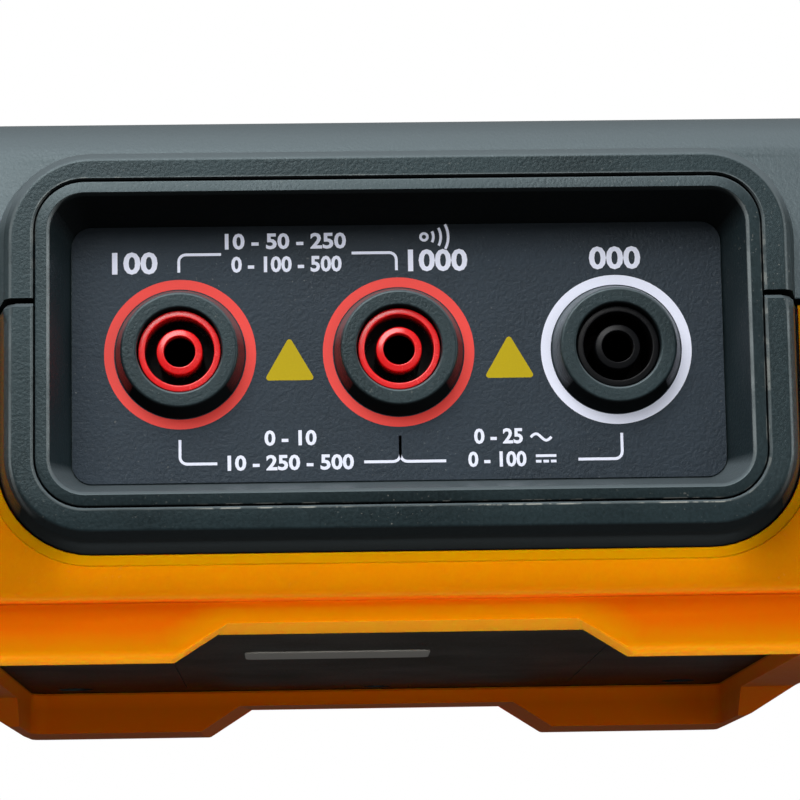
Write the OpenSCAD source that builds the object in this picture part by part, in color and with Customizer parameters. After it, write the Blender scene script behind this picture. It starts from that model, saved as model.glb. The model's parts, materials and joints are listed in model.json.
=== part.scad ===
// Insulation resistance tester: a bench instrument in a rubber boot, lying on its back.
// The socket end faces -Y, the deck with display and controls faces +Z,
// and the boot stands on its four corner feet at z = 0. Millimetres.

/* [Body] */
// Overall width, across the boot
body_w = 150; // [144:1:170]
// Overall length, from the socket frame to the far end of the boot
body_l = 190; // [186:1:220]
// Height of the flat deck above the table
deck_z = 71.5; // [70:0.5:76]
// Height of the joint between the upper and the lower case
split_z = 44.5; // [42:0.5:46]
// Open seam at the joint between the cases
split_gap = 0.6; // [0.3:0.1:1]
// Corner radius of the body, seen from above
corner_r = 18; // [14:0.5:22]
// Wall of both cases
wall = 2.5; // [2:0.1:3]
// Radius of the shoulder between the deck and the side walls
shoulder_r = 7; // [5:0.5:9]
// Inward lean of the upper case's walls
lean = 2.5; // [0:0.5:4]
// Extra setback of the deck's edge above the sockets
brow_setback = 5; // [2:0.5:7]
// Width of the sloped edge round the bottom of the lower case
keel_w = 10; // [6:0.5:12]
// Height of the sloped edge round the bottom of the lower case
keel_h = 6; // [4:0.5:8]

/* [Boot] */
// Wall of the rubber boot
boot_wall = 2.5; // [2:0.1:3.5]
// Thickness of the boot under the case
boot_floor = 2.7; // [2.5:0.1:5]
// Height of the corner feet below the boot's floor
foot_h = 4.8; // [3:0.1:6]
// Width of the boot's bars round the open bottom
boot_bar = 15; // [13:0.5:17]
// Sideways run of the sloped ends of the feet
foot_run = 7.5; // [5:0.5:12]
// Distance from the boot's sides to where the feet begin to slope up towards them
foot_side = 13.4; // [11:0.1:14]
// Clear span between the feet at the two ends
end_span = 44; // [30:1:60]
// Clear span between the feet along the two sides
side_span = 90; // [60:1:110]
// Height of the step that runs round the boot
step_z = 7.2; // [6:0.1:8]
// Depth of that step
step_in = 2.6; // [1:0.1:3]
// Chamfer of the boot's top rim
rim = 1.2; // [0.5:0.1:1.8]
// Chamfer of the boot's lip round the socket frame
boot_lip = 1.4; // [0.8:0.1:1.8]
// Number of grip grooves on each side
grip_count = 9; // [5:1:13]
// Spacing of the grip grooves
grip_pitch = 7; // [5:0.5:8]
// Width of a grip groove
grip_w = 3; // [2:0.5:4]
// Depth of a grip groove
grip_d = 0.9; // [0.4:0.1:1.2]
// Length of a grip groove
grip_l = 20; // [12:1:22]

/* [Socket end] */
// Width of the socket frame's front face
bezel_w = 96; // [94:0.5:102]
// Height of the socket frame's front face
bezel_h = 46; // [45:0.5:48]
// Height of the socket frame's middle above the table
bezel_z = 38.2; // [37.5:0.1:39]
// Corner radius of the socket frame's front face
bezel_r = 9.5; // [8:0.5:12]
// How far the socket frame stands out from the boot
bezel_out = 6.5; // [4:0.5:8]
// Chamfer of the socket frame's front edge
bezel_edge = 1.4; // [0.8:0.1:1.6]
// Outward slope of the socket frame's sides and top
bezel_flare = 0.2; // [0.1:0.05:0.3]
// Outward slope of the socket frame's underside
bezel_drop = 0.1; // [0.05:0.05:0.2]
// Radius where the socket frame's top runs into the upper case
bezel_fillet = 3; // [2:0.5:4]
// Width of the socket insert
well_w = 91; // [90:0.5:92]
// Height of the socket insert
well_h = 41; // [39:0.5:41.5]
// Corner radius of the socket insert
well_r = 6.2; // [5:0.2:7]
// How much higher the insert sits than the frame's middle
well_lift = 0.6; // [0:0.1:0.8]
// Seam round the insert
well_gap = 0.35; // [0.2:0.05:0.5]
// Depth of the recess
well_depth = 10; // [9:0.5:12]
// Front edge of the insert, beside the recess
well_lip = 1.9; // [1.2:0.1:2.2]
// Slope of the recess walls, from front to floor
well_draft = 2; // [1:0.1:3]
// Spacing of the three sockets
jack_pitch = 27.8; // [24:0.2:29]
// Height of the socket collars above the recess floor
collar_h = 4; // [3.5:0.5:6]
// Radius of a collar at its foot
collar_r = 8.2; // [8:0.1:9]
// Radius of a collar at its tip
collar_tip_r = 7.2; // [7:0.1:8]
// Radius of the bore in a collar
collar_bore_r = 5.3; // [5.2:0.1:5.8]
// Bore of the metal contact, for a plug pin
pin_d = 4; // [4:0.5:4.5]
// Radius of the inner sleeve over the contact
sleeve_r = 2.9; // [2.8:0.1:3.2]
// Wall of the socket's outer sleeve
shroud_wall = 0.8; // [0.6:0.1:1.1]
// Length of the contact's bore
contact_l = 18; // [16:0.2:22]

/* [Display and keys] */
// Width of the display window
window_w = 92; // [80:1:94]
// Height of the display window, along the body
window_l = 46; // [40:1:50]
// Thickness of the display window
window_t = 1.8; // [1.2:0.1:2]
// Distance of the window's middle from the deck's socket edge
window_from_edge = 37; // [34:1:40]
// Rim that carries the window
window_ledge = 4; // [2.5:0.5:5]
// Thickness of the graphic overlay on the deck
overlay_t = 0.5; // [0.3:0.1:0.8]
// Spacing of the function keys
key_pitch = 20; // [18:0.5:22]
// Width of a function key
key_w = 15; // [10:0.5:15]
// Depth of a function key
key_l = 8; // [6:0.5:9]
// Travel of a function key
key_travel = 1.2; // [0.6:0.1:1.5]
// How far a key stands above the deck
key_up = 1.6; // [1.5:0.1:2.5]

/* [Selector and test button] */
// Diameter of the selector knob
knob_d = 44; // [36:1:48]
// Height of the selector knob
knob_h = 11; // [9:0.5:14]
// Width of the knob's finger bar
knob_bar = 12; // [8:0.5:16]
// Turn of the selector to either side, in degrees
knob_turn = 120; // [90:5:120]
// Diameter of the selector shaft
shaft_d = 6; // [5:0.5:7]
// Diameter of the test button
test_d = 24; // [20:1:26]
// Height of the test button above the deck
test_h = 7.5; // [6.5:0.5:10]
// Travel of the test button
test_travel = 2.2; // [1:0.1:2.4]
// Wall of the guard ring round the test button
guard_wall = 4.5; // [3:0.5:6]

/* [Power and boards] */
// Diameter of a battery cell
cell_d = 14.5; // [14:0.1:14.6]
// Length of a battery cell
cell_l = 50.5; // [49:0.5:51]
// Columns of cells across the bay
cell_columns = 4; // [2:1:4]
// Thickness of the circuit boards
board_t = 1.6; // [1:0.2:2]
// Diameter of the case screws
screw_d = 3; // [2.5:0.5:3.5]

/* [Hidden] */
$fn = 64;

// Clearances
over = 1;
seat = 0.1;
slip = 0.3;
run = 0.05;
grip = 0.03;

// Colours
dark = [0.17, 0.18, 0.18];
slate = [0.15, 0.16, 0.19];
orange = [0.93, 0.5, 0.03];
red = [0.85, 0.1, 0.08];
black = [0.06, 0.06, 0.06];
steel = [0.72, 0.73, 0.75];
brass = [0.8, 0.65, 0.3];
board_green = [0.07, 0.3, 0.16];
pale = [0.85, 0.86, 0.85];

// Main planes
half_w = body_w / 2;
face_y = -body_l / 2;
far_y = body_l / 2;
boot_y0 = face_y + bezel_out;
boot_mid_y = (boot_y0 + far_y) / 2;
floor_z = foot_h + boot_floor;
floor_top = floor_z + wall;
deck_under = deck_z - wall;
seam_z = split_z - split_gap;

// Outline of the lower case, inside the boot
case_in = boot_wall + seat;
case_hw = half_w - case_in;
case_y0 = boot_y0 + case_in;
case_y1 = far_y - case_in;

// Outline of the upper case, nearly flush with the boot
flush = 0.5;
lid_rim = case_in - flush + wall;
lid_rim_h = 4;
deck_y0 = boot_y0 + flush + lean + shoulder_r + brow_setback;
deck_y1 = far_y - flush - lean - shoulder_r;
deck_hw = half_w - flush - lean - shoulder_r;

// Case screws and board posts
boss_r = screw_d / 2 + 3;
boss_x = window_w / 2 + boss_r + 1.5;
boss_y0 = face_y + 31;
boss_y1 = far_y - 23;
post_r = 3.5;
pilot_r = 1.05;
small_screw_r = 1.25;
small_head_r = 2.2;
small_head_h = 1.4;
post_bite = 6;
display_bite = 5;
clamp_bite = 1.5;
cover_bite = 4;
cover_head_h = 1.2;
screw_sink = 4;
board_r = 3;
window_r = 3;

// Socket insert
well_z = bezel_z + well_lift;
tongue = 1.6;
tongue_t = 2;
tongue_depth = 4.5;
recess_w = well_w - 2 * well_lip - 2 * well_draft;
recess_h = well_h - 2 * well_lip - 2 * well_draft;
recess_r = 2.6;
label_t = 0.4;
plate_ledge = 2.3;
plate_t = 3;
plate_w = recess_w + 2 * plate_ledge;
plate_h = recess_h + 2 * plate_ledge;
well_len = well_depth + plate_t + 1;
jack_xs = [-jack_pitch, 0, jack_pitch];

// Sockets, measured from the recess floor
shroud_r = collar_bore_r - seat;
jack_tip = collar_h - 1;
sleeve_tip = collar_h - 1.4;
sleeve_lip = 1.5;
contact_tip = sleeve_tip - sleeve_lip - seat;
contact_r = pin_d / 2 + 0.45;
annulus_end = -12;
jack_back = -15;
flange_r = shroud_r + 2.2;
flange_t = 2;
clamp_t = 2;
clamp_h = 20;
contact_end = min(contact_tip - contact_l - 2, jack_back - 4);
shoulder_t = 1.4;
jack_post_r = 3;
jack_post_x = plate_w / 2 - jack_post_r - 2;
jack_board_w = 2 * jack_post_x + 8;
jack_board_h = plate_h - 4;
jack_board_y = face_y + well_depth - contact_end;

// Display stack, from the deck down
display_top = deck_z - 10;
display_under = display_top - board_t;
window_y = deck_y0 + window_from_edge;
lcd_frame_wall = 2;
lcd_t = 2.8;
backlight_t = 3;
lcd_frame_h = deck_under - slip - display_top;
display_hw = window_w / 2 + 12;
display_y0 = deck_y0 + 2;
display_y1 = deck_y1 - 3;
overlay_hw = deck_hw - 5;
overlay_y0 = deck_y0 + 4;
overlay_y1 = deck_y1 - 4;
overlay_r = 6;
overlay_under = deck_z - overlay_t;

// Keys
key_count = 5;
key_y = window_y + window_l / 2 + 11 + key_l / 2;
key_r = 2.5;
key_flange = 1.2;
key_flange_t = 1.6;
tact_h = 3.5;
tact_w = 6;
key_foot = display_top + tact_h + slip + key_travel;

// Selector and test button
guard_r = test_d / 2 + slip + guard_wall;
control_y = (key_y + key_l / 2 + overlay_y1) / 2;
knob_x = overlay_hw - knob_d / 2 - 10;
test_x = guard_r + 5.5 - overlay_hw;
knob_gap = 0.5;
knob_skirt_t = 3;
knob_wall = 3;
shaft_foot = display_top + slip;
shaft_top = deck_z + knob_h - knob_wall;
bush_r = shaft_d / 2 + 2;
bush_flange_r = bush_r + 2;
bush_flange_t = 1.2;
bush_foot = deck_under - bush_flange_t;
rotor_r = 17;
rotor_t = 2;
rotor_tab = 3.5;
stop_r = 1.5;
stop_path = rotor_r + rotor_tab / 2 + 1;
stop_angle = knob_turn + 18;
test_skirt = test_h - test_travel - slip;
test_stem_r = 4;
test_spring_r = 6.2;
spring_wire_r = 0.4;
spring_pocket_r = test_spring_r + spring_wire_r + 0.6;
spring_roof = deck_z + test_h - 2;
guard_h = test_h - 1.5;
clip_t = 1;
clip_r = test_stem_r + 2.2;
clip_neck_r = test_stem_r - 1;
clip_z = deck_under - slip - clip_t;
stem_foot = clip_z - clip_t;
lamp_r = 2.4;
lamp_x = (test_x + guard_r + knob_x - knob_d / 2) / 2;
lamp_y = control_y - knob_d / 2 + lamp_r;

// Battery bay
spring_l = 3.5;
contact_t = 0.5;
bay_divider = 2;
bay_wall = 1.5;
cell_pitch = cell_d + 0.7;
slot_l = cell_l + spring_l + 2 * contact_t;
bay_w = cell_columns * cell_pitch;
bay_l = 2 * slot_l + bay_divider;
cover_tab = 7;
bay_y = far_y - boot_bar - 1.5 - cover_tab - bay_l / 2;
cell_z = floor_top + slip + cell_d / 2;
bay_top = cell_z + cell_d / 2 + slip;
cover_ledge = 2.4;
plate_film = 0.2;

// Main board and what stands on it
main_under = bay_top + bay_wall + 3;
main_top = main_under + board_t;
main_hw = half_w - 17;
header_gap = 6;
header_l = 13;
header_h = 5;
main_y0 = jack_board_y + board_t + header_gap;
main_y1 = far_y - 15;
main_y = (main_y0 + main_y1) / 2;
main_post_x = main_hw - 6;
main_post_y0 = main_y0 + 8;
main_post_y1 = main_y1 - 20;
link_w = 36;
link_l = 6;
row_x = 31;
core_w = 26;
core_l = 12;
core_leg = 4;
bobbin_r = 8.5;
bobbin_h = 13;
bobbin_foot = 3;
cap_r = 6;
cap_h = 17;
cap_pitch = 15;
relay_w = 20;
relay_l = 12;
relay_h = 15;
relay_pitch = 18;
fuse_r = 2.5;
fuse_l = 20;
fuse_z = 5;
clip_w = 5;
clip_l = 8;
buzzer_r = 7;
buzzer_h = 8;
chip_w = 14;
chip_t = 1.6;

// Points of a rounded rectangle that spans -hw..hw and y0..y1
function corner(x, y, r, from, n) =
    [for (i = [0:n]) [x + r * cos(from + 90 * i / n), y + r * sin(from + 90 * i / n)]];
function outline(hw, y0, y1, r, n) = concat(
    corner(hw - r, y1 - r, r, 0, n), corner(-hw + r, y1 - r, r, 90, n),
    corner(-hw + r, y0 + r, r, 180, n), corner(hw - r, y0 + r, r, 270, n));

// Solid through a stack of rounded rectangles, each row [height, half width, y0, y1, radius]
module loft(rows, n = 8) {
    m = 4 * (n + 1);
    points = [for (row = rows) for (p = outline(row[1], row[2], row[3], row[4], n))
        [p[0], p[1], row[0]]];
    last = (len(rows) - 1) * m;
    sides = [for (j = [0:len(rows) - 2]) for (i = [0:m - 1]) let (
        a = j * m + i, b = j * m + (i + 1) % m) each [[a, a + m, b + m], [a, b + m, b]]];
    caps = [[for (i = [0:m - 1]) i], [for (i = [m - 1:-1:0]) last + i]];
    polyhedron(points, concat(sides, caps));
}

// Flat shapes and small solids that several pieces share
module rounded(w, l, r) {
    square([w - 2 * r, l], center = true);
    square([w, l - 2 * r], center = true);
    for (x = [-1, 1], y = [-1, 1]) translate([x * (w / 2 - r), y * (l / 2 - r)]) circle(r);
}

module pad(w, l, h, r) {
    linear_extrude(h) rounded(w, l, r);
}

module box(w, l, h) {
    translate([-w / 2, -l / 2, 0]) cube([w, l, h]);
}

module tube(outer, inner, h) {
    difference() {
        cylinder(h = h, r = outer);
        translate([0, 0, -over]) cylinder(h = h + 2 * over, r = inner);
    }
}

// Pan-head screw whose head rests on z = 0 and whose thread runs down
module screw(r, l, head_r, head_h) {
    slot_w = head_r / 3;
    slot_depth = head_h / 2;
    difference() {
        union() {
            cylinder(h = head_h, r = head_r);
            translate([0, 0, -l]) cylinder(h = l + head_h / 2, r = r);
        }
        for (turn = [0, 90]) rotate([0, 0, turn])
            translate([-head_r * 0.7, -slot_w / 2, head_h - slot_depth])
                cube([head_r * 1.4, slot_w, slot_depth + over]);
    }
}

// Coil of round wire that stands on z = 0
module coil(r, wire_r, h, turns, steps = 10, sides = 6) {
    count = turns * steps;
    climb = (h - 2 * wire_r) / count;
    points = [for (i = [0:count]) for (k = [0:sides - 1]) let (
        a = 360 * i / steps, b = 360 * k / sides, reach = r + wire_r * cos(b))
        [reach * cos(a), reach * sin(a), wire_r + climb * i + wire_r * sin(b)]];
    skin = [for (i = [0:count - 1]) for (k = [0:sides - 1]) let (
        a = i * sides + k, b = i * sides + (k + 1) % sides)
        each [[a, a + sides, b + sides], [a, b + sides, b]]];
    caps = [[for (k = [0:sides - 1]) k], [for (k = [sides - 1:-1:0]) count * sides + k]];
    polyhedron(points, concat(skin, caps));
}

// Places of repeated pieces
module at_bosses() {
    for (x = [-boss_x, boss_x], y = [boss_y0, boss_y1]) translate([x, y, 0]) children();
}

module at_main_posts() {
    for (x = [-main_post_x, main_post_x], y = [main_post_y0, main_post_y1])
        translate([x, y, 0]) children();
}

module at_display_posts() {
    for (x = [-display_hw + 4, display_hw - 4], y = [window_y + 8, control_y - 8])
        translate([x, y, 0]) children();
}

module at_keys() {
    for (i = [0:key_count - 1]) translate([(i - (key_count - 1) / 2) * key_pitch, key_y, 0])
        children();
}

// Sockets: local z runs outwards from the frame's front face
module at_face(z) {
    translate([0, face_y, z]) rotate([90, 0, 0]) children();
}

module at_jack(x) {
    at_face(well_z) translate([x, 0, -well_depth]) children();
}

// Outlines of the shells
function case_row(z, inset) =
    [z, case_hw - inset, case_y0 + inset, case_y1 - inset, max(corner_r - case_in - inset, 2)];
function boot_row(z, inset) =
    [z, half_w - inset, boot_y0 + inset, far_y - inset, max(corner_r - inset, 2)];
function lid_row(z, inset) = let (back = brow_setback * (z - split_z) / (deck_z - split_z))
    [z, half_w - flush - inset, boot_y0 + flush + inset + back, far_y - flush - inset,
        max(corner_r - flush - inset, 2)];
function lid_shoulder(t) = [for (a = [0:18:90])
    lid_row(deck_z - shoulder_r + (shoulder_r - t) * sin(a),
        lean + shoulder_r - (shoulder_r - t) * cos(a))];

module lid_outside() {
    loft(concat([lid_row(split_z, 0)], lid_shoulder(0)));
}

module lid_inside() {
    loft(concat([lid_row(split_z - over, lid_rim), lid_row(split_z + lid_rim_h, lid_rim),
        lid_row(split_z + 2 * lid_rim_h, wall + lean / 2)], lid_shoulder(wall)));
}

module case_outside(gap = 0) {
    loft([case_row(floor_z - gap, keel_w - gap), case_row(floor_z + keel_h, -gap),
        case_row(gap > 0 ? split_z + over : seam_z, -gap)]);
}

module case_inside() {
    loft([case_row(floor_top, keel_w + wall / 2), case_row(floor_top + keel_h - wall / 2, wall),
        case_row(split_z + over, wall)]);
}

// Socket frame with a chamfered front edge and flared sides
function bezel_row(depth, grow, drop) =
    [-depth, bezel_w / 2 + grow, -bezel_h / 2 - drop, bezel_h / 2 + grow, bezel_r + (grow + drop) / 2];
function bezel_side(depth, gap = 0) = let (run = depth - bezel_edge)
    bezel_row(depth, bezel_edge + bezel_flare * run + gap, bezel_edge + bezel_drop * run + gap);
bezel_front = [bezel_side(bezel_edge), bezel_row(0, 0, 0)];

// Hollow curve from the frame's top into the front wall of the upper case
wall_lean = lean / (deck_z - shoulder_r - split_z) + brow_setback / (deck_z - split_z);
wall_at_split = bezel_out + flush + 0.5;
fillet_up = bezel_fillet * sqrt(1 + bezel_flare ^ 2);
fillet_out = bezel_fillet * sqrt(1 + wall_lean ^ 2);
fillet_z = (bezel_z + bezel_h / 2 + bezel_edge + fillet_up
    + bezel_flare * (wall_at_split - wall_lean * split_z - fillet_out - bezel_edge))
    / (1 - bezel_flare * wall_lean);
fillet_depth = wall_at_split + wall_lean * (fillet_z - split_z) - fillet_out;
bezel_hollow = [for (i = [0:4]) let (
    from = -atan(wall_lean), to = atan(bezel_flare) - 90, a = from + (to - from) * i / 4,
    depth = fillet_depth + bezel_fillet * cos(a),
    grow = fillet_z + bezel_fillet * sin(a) - bezel_z - bezel_h / 2) bezel_row(depth, grow, bezel_edge)];

module bezel_block(upper) {
    reach = bezel_out + boot_wall + wall;
    at_face(bezel_z) loft(concat(upper ? bezel_hollow : [bezel_side(reach)], bezel_front));
}

module half_space(upper) {
    size = 2 * body_l;
    translate([-size / 2, -size / 2, upper ? split_z : seam_z - size]) cube(size);
}

module well_hole() {
    at_face(well_z) {
        translate([0, 0, -2 * well_len])
            pad(well_w + 2 * well_gap, well_h + 2 * well_gap, 3 * well_len, well_r + well_gap);
        translate([0, 0, -tongue_depth - tongue_t - seat])
            pad(well_w + 2 * (tongue + well_gap), well_h + 2 * (tongue + well_gap),
                tongue_t + 2 * seat, well_r + tongue + well_gap);
    }
}

// Shells
module upper_case() {
    color(dark) difference() {
        union() {
            difference() {
                union() {
                    lid_outside();
                    intersection() {
                        bezel_block(true);
                        half_space(true);
                    }
                }
                lid_inside();
            }
            intersection() {
                union() {
                    at_bosses() translate([0, 0, split_z]) cylinder(h = deck_z - split_z, r = boss_r);
                    at_display_posts() translate([0, 0, display_top])
                        cylinder(h = deck_z - display_top, r = post_r);
                    for (side = [-1, 1]) translate([knob_x, control_y, display_top + slip])
                        rotate([0, 0, -90 + side * stop_angle]) translate([stop_path, 0, 0])
                            cylinder(h = deck_z - display_top - slip, r = stop_r);
                }
                lid_outside();
            }
        }
        well_hole();
        translate([0, 0, split_z - over]) at_bosses()
            cylinder(h = deck_under - split_z + over, r = screw_d / 2 - 0.2);
        translate([0, 0, display_top - over]) at_display_posts()
            cylinder(h = deck_under - display_top + over, r = pilot_r);
        overlay_space();
        translate([0, window_y, deck_z - window_t])
            pad(window_w + 2 * seat, window_l + 2 * seat, window_t + over, window_r);
        translate([0, window_y, deck_under - over])
            pad(window_w - 2 * window_ledge, window_l - 2 * window_ledge, wall + 2 * over, 2);
        translate([0, 0, deck_under - over]) {
            at_keys() pad(key_w + 2 * slip, key_l + 2 * slip, wall + 2 * over, key_r + slip);
            translate([knob_x, control_y, 0]) cylinder(h = wall + 2 * over, r = bush_r + grip);
            translate([test_x, control_y, 0]) cylinder(h = wall + 2 * over, r = test_stem_r + run);
            translate([lamp_x, lamp_y, 0]) cylinder(h = wall + 2 * over, r = lamp_r + seat);
        }
    }
}

module overlay_space() {
    translate([0, (overlay_y0 + overlay_y1) / 2, overlay_under])
        pad(2 * overlay_hw + 2 * seat, overlay_y1 - overlay_y0 + 2 * seat, overlay_t + over, overlay_r);
}

module lower_case() {
    color(dark) difference() {
        union() {
            difference() {
                union() {
                    case_outside();
                    intersection() {
                        bezel_block(false);
                        half_space(false);
                    }
                }
                case_inside();
            }
            intersection() {
                union() {
                    at_bosses() translate([0, 0, floor_z]) cylinder(h = seam_z - floor_z, r = boss_r);
                    at_main_posts() translate([0, 0, floor_z])
                        cylinder(h = main_under - floor_z, r = post_r);
                    translate([0, bay_y, floor_z])
                        box(bay_w + 2 * bay_wall, bay_l + 2 * bay_wall, bay_top + bay_wall - floor_z);
                    for (end = [-1, 1]) translate([0, bay_y + end * (bay_l / 2 + cover_tab / 2), floor_z])
                        box(cover_tab + 2, cover_tab, wall + cover_bite + 1);
                }
                case_outside();
            }
        }
        well_hole();
        at_bosses() {
            translate([0, 0, floor_z - over]) cylinder(h = screw_sink + over, r = screw_d + seat);
            translate([0, 0, floor_z]) cylinder(h = seam_z, r = screw_d / 2 + 0.2);
        }
        at_main_posts() translate([0, 0, floor_top])
            cylinder(h = main_under - floor_top + over, r = pilot_r);
        for (row = [-1, 1]) translate([0, bay_y + row * (slot_l + bay_divider) / 2, floor_z - over])
            box(bay_w, slot_l, bay_top - floor_z + over);
        translate([0, bay_y, floor_z - over]) cover_shape(wall + over, seat);
        for (end = [-1, 1]) translate([0, bay_y + end * (bay_l + cover_tab) / 2, floor_z])
            cylinder(h = wall + cover_bite, r = pilot_r);
    }
}

// Battery cover outline: the bay plus a ledge, with a screw tab at each end
module cover_shape(h, gap) {
    linear_extrude(h) {
        square([bay_w + 2 * cover_ledge + 2 * gap, bay_l + 2 * gap], center = true);
        for (end = [-1, 1]) translate([0, end * (bay_l + cover_tab) / 2])
            square([cover_tab + 4 + 2 * gap, cover_tab + 2 * gap], center = true);
    }
}

// The boot's cut-out follows the socket frame and is open at the top
function notch_row(depth, gap) = let (row = bezel_side(depth, gap))
    [row[0], row[1], row[2], deck_z, row[4]];

module protective_boot() {
    color(orange) difference() {
        loft([boot_row(0, step_in + 1.4), boot_row(1.4, step_in - 0.6), boot_row(step_z, step_in + 0.4),
            boot_row(step_z + 0.4, 0.5), boot_row(step_z + 1.2, 0),
            boot_row(seam_z - rim, 0), boot_row(seam_z, rim)]);
        case_outside(seat);
        loft([boot_row(-over, boot_bar), boot_row(floor_z + over, boot_bar)]);
        at_face(bezel_z) loft([notch_row(bezel_out + boot_wall + 3, slip),
            notch_row(bezel_out + boot_lip, slip), notch_row(bezel_out, slip + boot_lip),
            notch_row(bezel_out - boot_lip, slip + 2 * boot_lip)]);
        translate([0, far_y + over, 0]) rotate([90, 0, 0]) linear_extrude(body_l + 2 * over)
            foot_cut(end_span);
        translate([-half_w - over, boot_mid_y, 0]) rotate([90, 0, 90]) linear_extrude(body_w + 2 * over)
            foot_cut(side_span);
        for (side = [0, 1]) mirror([side, 0, 0]) translate([half_w - foot_side, far_y + over, 0])
            rotate([90, 0, 0]) linear_extrude(body_l + 2 * over) foot_slope();
        for (side = [-1, 1], i = [0:grip_count - 1])
            translate([side * half_w, bay_y + (i - (grip_count - 1) / 2) * grip_pitch, split_z / 2 + 4])
                cube([2 * grip_d, grip_w, grip_l], center = true);
    }
}

module foot_cut(span) {
    polygon([[-span / 2 - foot_run, -over], [-span / 2 - foot_run, 0], [-span / 2, foot_h],
        [span / 2, foot_h], [span / 2 + foot_run, 0], [span / 2 + foot_run, -over]]);
}

module foot_slope() {
    reach = foot_side + over;
    polygon([[0, -over], [0, 0], [reach, reach * foot_h / foot_run], [reach, -over]]);
}

module case_gasket() {
    inset = wall / 5;
    w = case_hw - inset;
    l = case_y1 - case_y0 - 2 * inset;
    band = wall - 2 * inset;
    color(black) difference() {
        translate([0, (case_y0 + case_y1) / 2, seam_z]) linear_extrude(split_gap) difference() {
            rounded(2 * w, l, corner_r - case_in - inset);
            rounded(2 * (w - band), l - 2 * band, corner_r - case_in - inset - band);
        }
        translate([0, face_y, split_z])
            cube([bezel_w + 2 * bezel_out, 4 * bezel_out, deck_z], center = true);
    }
}

// Socket end
module socket_bezel() {
    hw = well_w / 2 - well_lip;
    hh = well_h / 2 - well_lip;
    r = well_r - well_lip;
    color(dark) at_face(well_z) difference() {
        union() {
            translate([0, 0, -well_len]) pad(well_w, well_h, well_len, well_r);
            translate([0, 0, -tongue_depth - tongue_t])
                pad(well_w + 2 * tongue, well_h + 2 * tongue, tongue_t, well_r + tongue);
        }
        loft([[-well_depth - over, hw - well_draft, -hh + well_draft, hh - well_draft, recess_r],
            [-well_depth, hw - well_draft, -hh + well_draft, hh - well_draft, recess_r],
            [0, hw, -hh, hh, r], [over, hw, -hh, hh, r]]);
        translate([0, 0, -well_len - over]) linear_extrude(well_len - well_depth + over)
            rounded(plate_w + 2 * seat, plate_h + 2 * seat, recess_r + plate_ledge);
    }
}

module socket_block() {
    color(dark) at_face(well_z) translate([0, 0, -well_depth]) difference() {
        union() {
            translate([0, 0, -plate_t]) pad(plate_w, plate_h, plate_t, recess_r + plate_ledge);
            for (x = [-1, 1]) {
                translate([x * jack_post_x, 0, contact_end])
                    cylinder(h = -contact_end - plate_t + seat, r = jack_post_r);
                translate([x * jack_pitch / 2, 0, -plate_t - flange_t])
                    cylinder(h = flange_t + seat, r = jack_post_r);
            }
        }
        for (x = jack_xs) translate([x, 0, -plate_t - over])
            cylinder(h = plate_t + 2 * over, r = collar_bore_r);
        for (x = [-1, 1]) {
            translate([x * jack_post_x, 0, contact_end - over]) cylinder(h = 9, r = pilot_r);
            translate([x * jack_pitch / 2, 0, -plate_t - flange_t - over])
                cylinder(h = plate_t + flange_t, r = pilot_r);
        }
    }
}

module jack_collars() {
    color(dark) for (x = jack_xs) at_jack(x) difference() {
        cylinder(h = collar_h, r1 = collar_r, r2 = collar_tip_r);
        translate([0, 0, -over]) cylinder(h = collar_h + 2 * over, r = collar_bore_r);
    }
}

module socket_label() {
    color(slate) at_face(well_z) translate([0, 0, -well_depth]) linear_extrude(label_t) difference() {
        rounded(recess_w - 2 * seat, recess_h - 2 * seat, recess_r - seat);
        for (x = jack_xs) translate([x, 0]) circle(collar_r + seat);
    }
}

module jack_body(x, tint) {
    color(tint) at_jack(x) difference() {
        union() {
            translate([0, 0, jack_back]) cylinder(h = jack_tip - jack_back, r = shroud_r);
            translate([0, 0, -plate_t - flange_t]) cylinder(h = flange_t, r = flange_r);
        }
        translate([0, 0, annulus_end]) difference() {
            cylinder(h = jack_tip - annulus_end + over, r = shroud_r - shroud_wall);
            translate([0, 0, -over]) cylinder(h = sleeve_tip - annulus_end + over, r = sleeve_r);
        }
        translate([0, 0, jack_back - over])
            cylinder(h = sleeve_tip - sleeve_lip - jack_back + over, r = contact_r + run);
        translate([0, 0, jack_back]) cylinder(h = sleeve_tip - jack_back + over, r = pin_d / 2);
    }
}

module jack_body_low() {
    jack_body(jack_xs[0], red);
}

module jack_body_high() {
    jack_body(jack_xs[1], red);
}

module jack_body_common() {
    jack_body(jack_xs[2], black);
}

module jack_contacts() {
    color(brass) for (x = jack_xs) at_jack(x) difference() {
        union() {
            translate([0, 0, contact_end]) cylinder(h = contact_tip - contact_end, r = contact_r);
            translate([0, 0, jack_back - shoulder_t]) cylinder(h = shoulder_t, r = contact_r + 1);
            translate([0, 0, contact_end - board_t - 2]) cylinder(h = board_t + 2 + seat, r = 0.8);
        }
        translate([0, 0, contact_tip - contact_l]) cylinder(h = contact_l + over, r = pin_d / 2);
    }
}

module jack_clamp() {
    color(black) at_face(well_z) translate([0, 0, -well_depth - plate_t - flange_t - clamp_t])
        linear_extrude(clamp_t) difference() {
            rounded(2 * (jack_pitch + flange_r), clamp_h, 3);
            for (x = jack_xs) translate([x, 0]) circle(shroud_r + seat);
            for (x = [-1, 1]) translate([x * jack_pitch / 2, 0]) circle(small_screw_r + seat);
        }
}

module jack_clamp_screws() {
    color(steel) at_face(well_z) for (x = [-1, 1])
        translate([x * jack_pitch / 2, 0, -well_depth - plate_t - flange_t - clamp_t]) mirror([0, 0, 1])
            screw(pilot_r - seat / 2, clamp_t + flange_t + clamp_bite, small_head_r, small_head_h);
}

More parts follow.
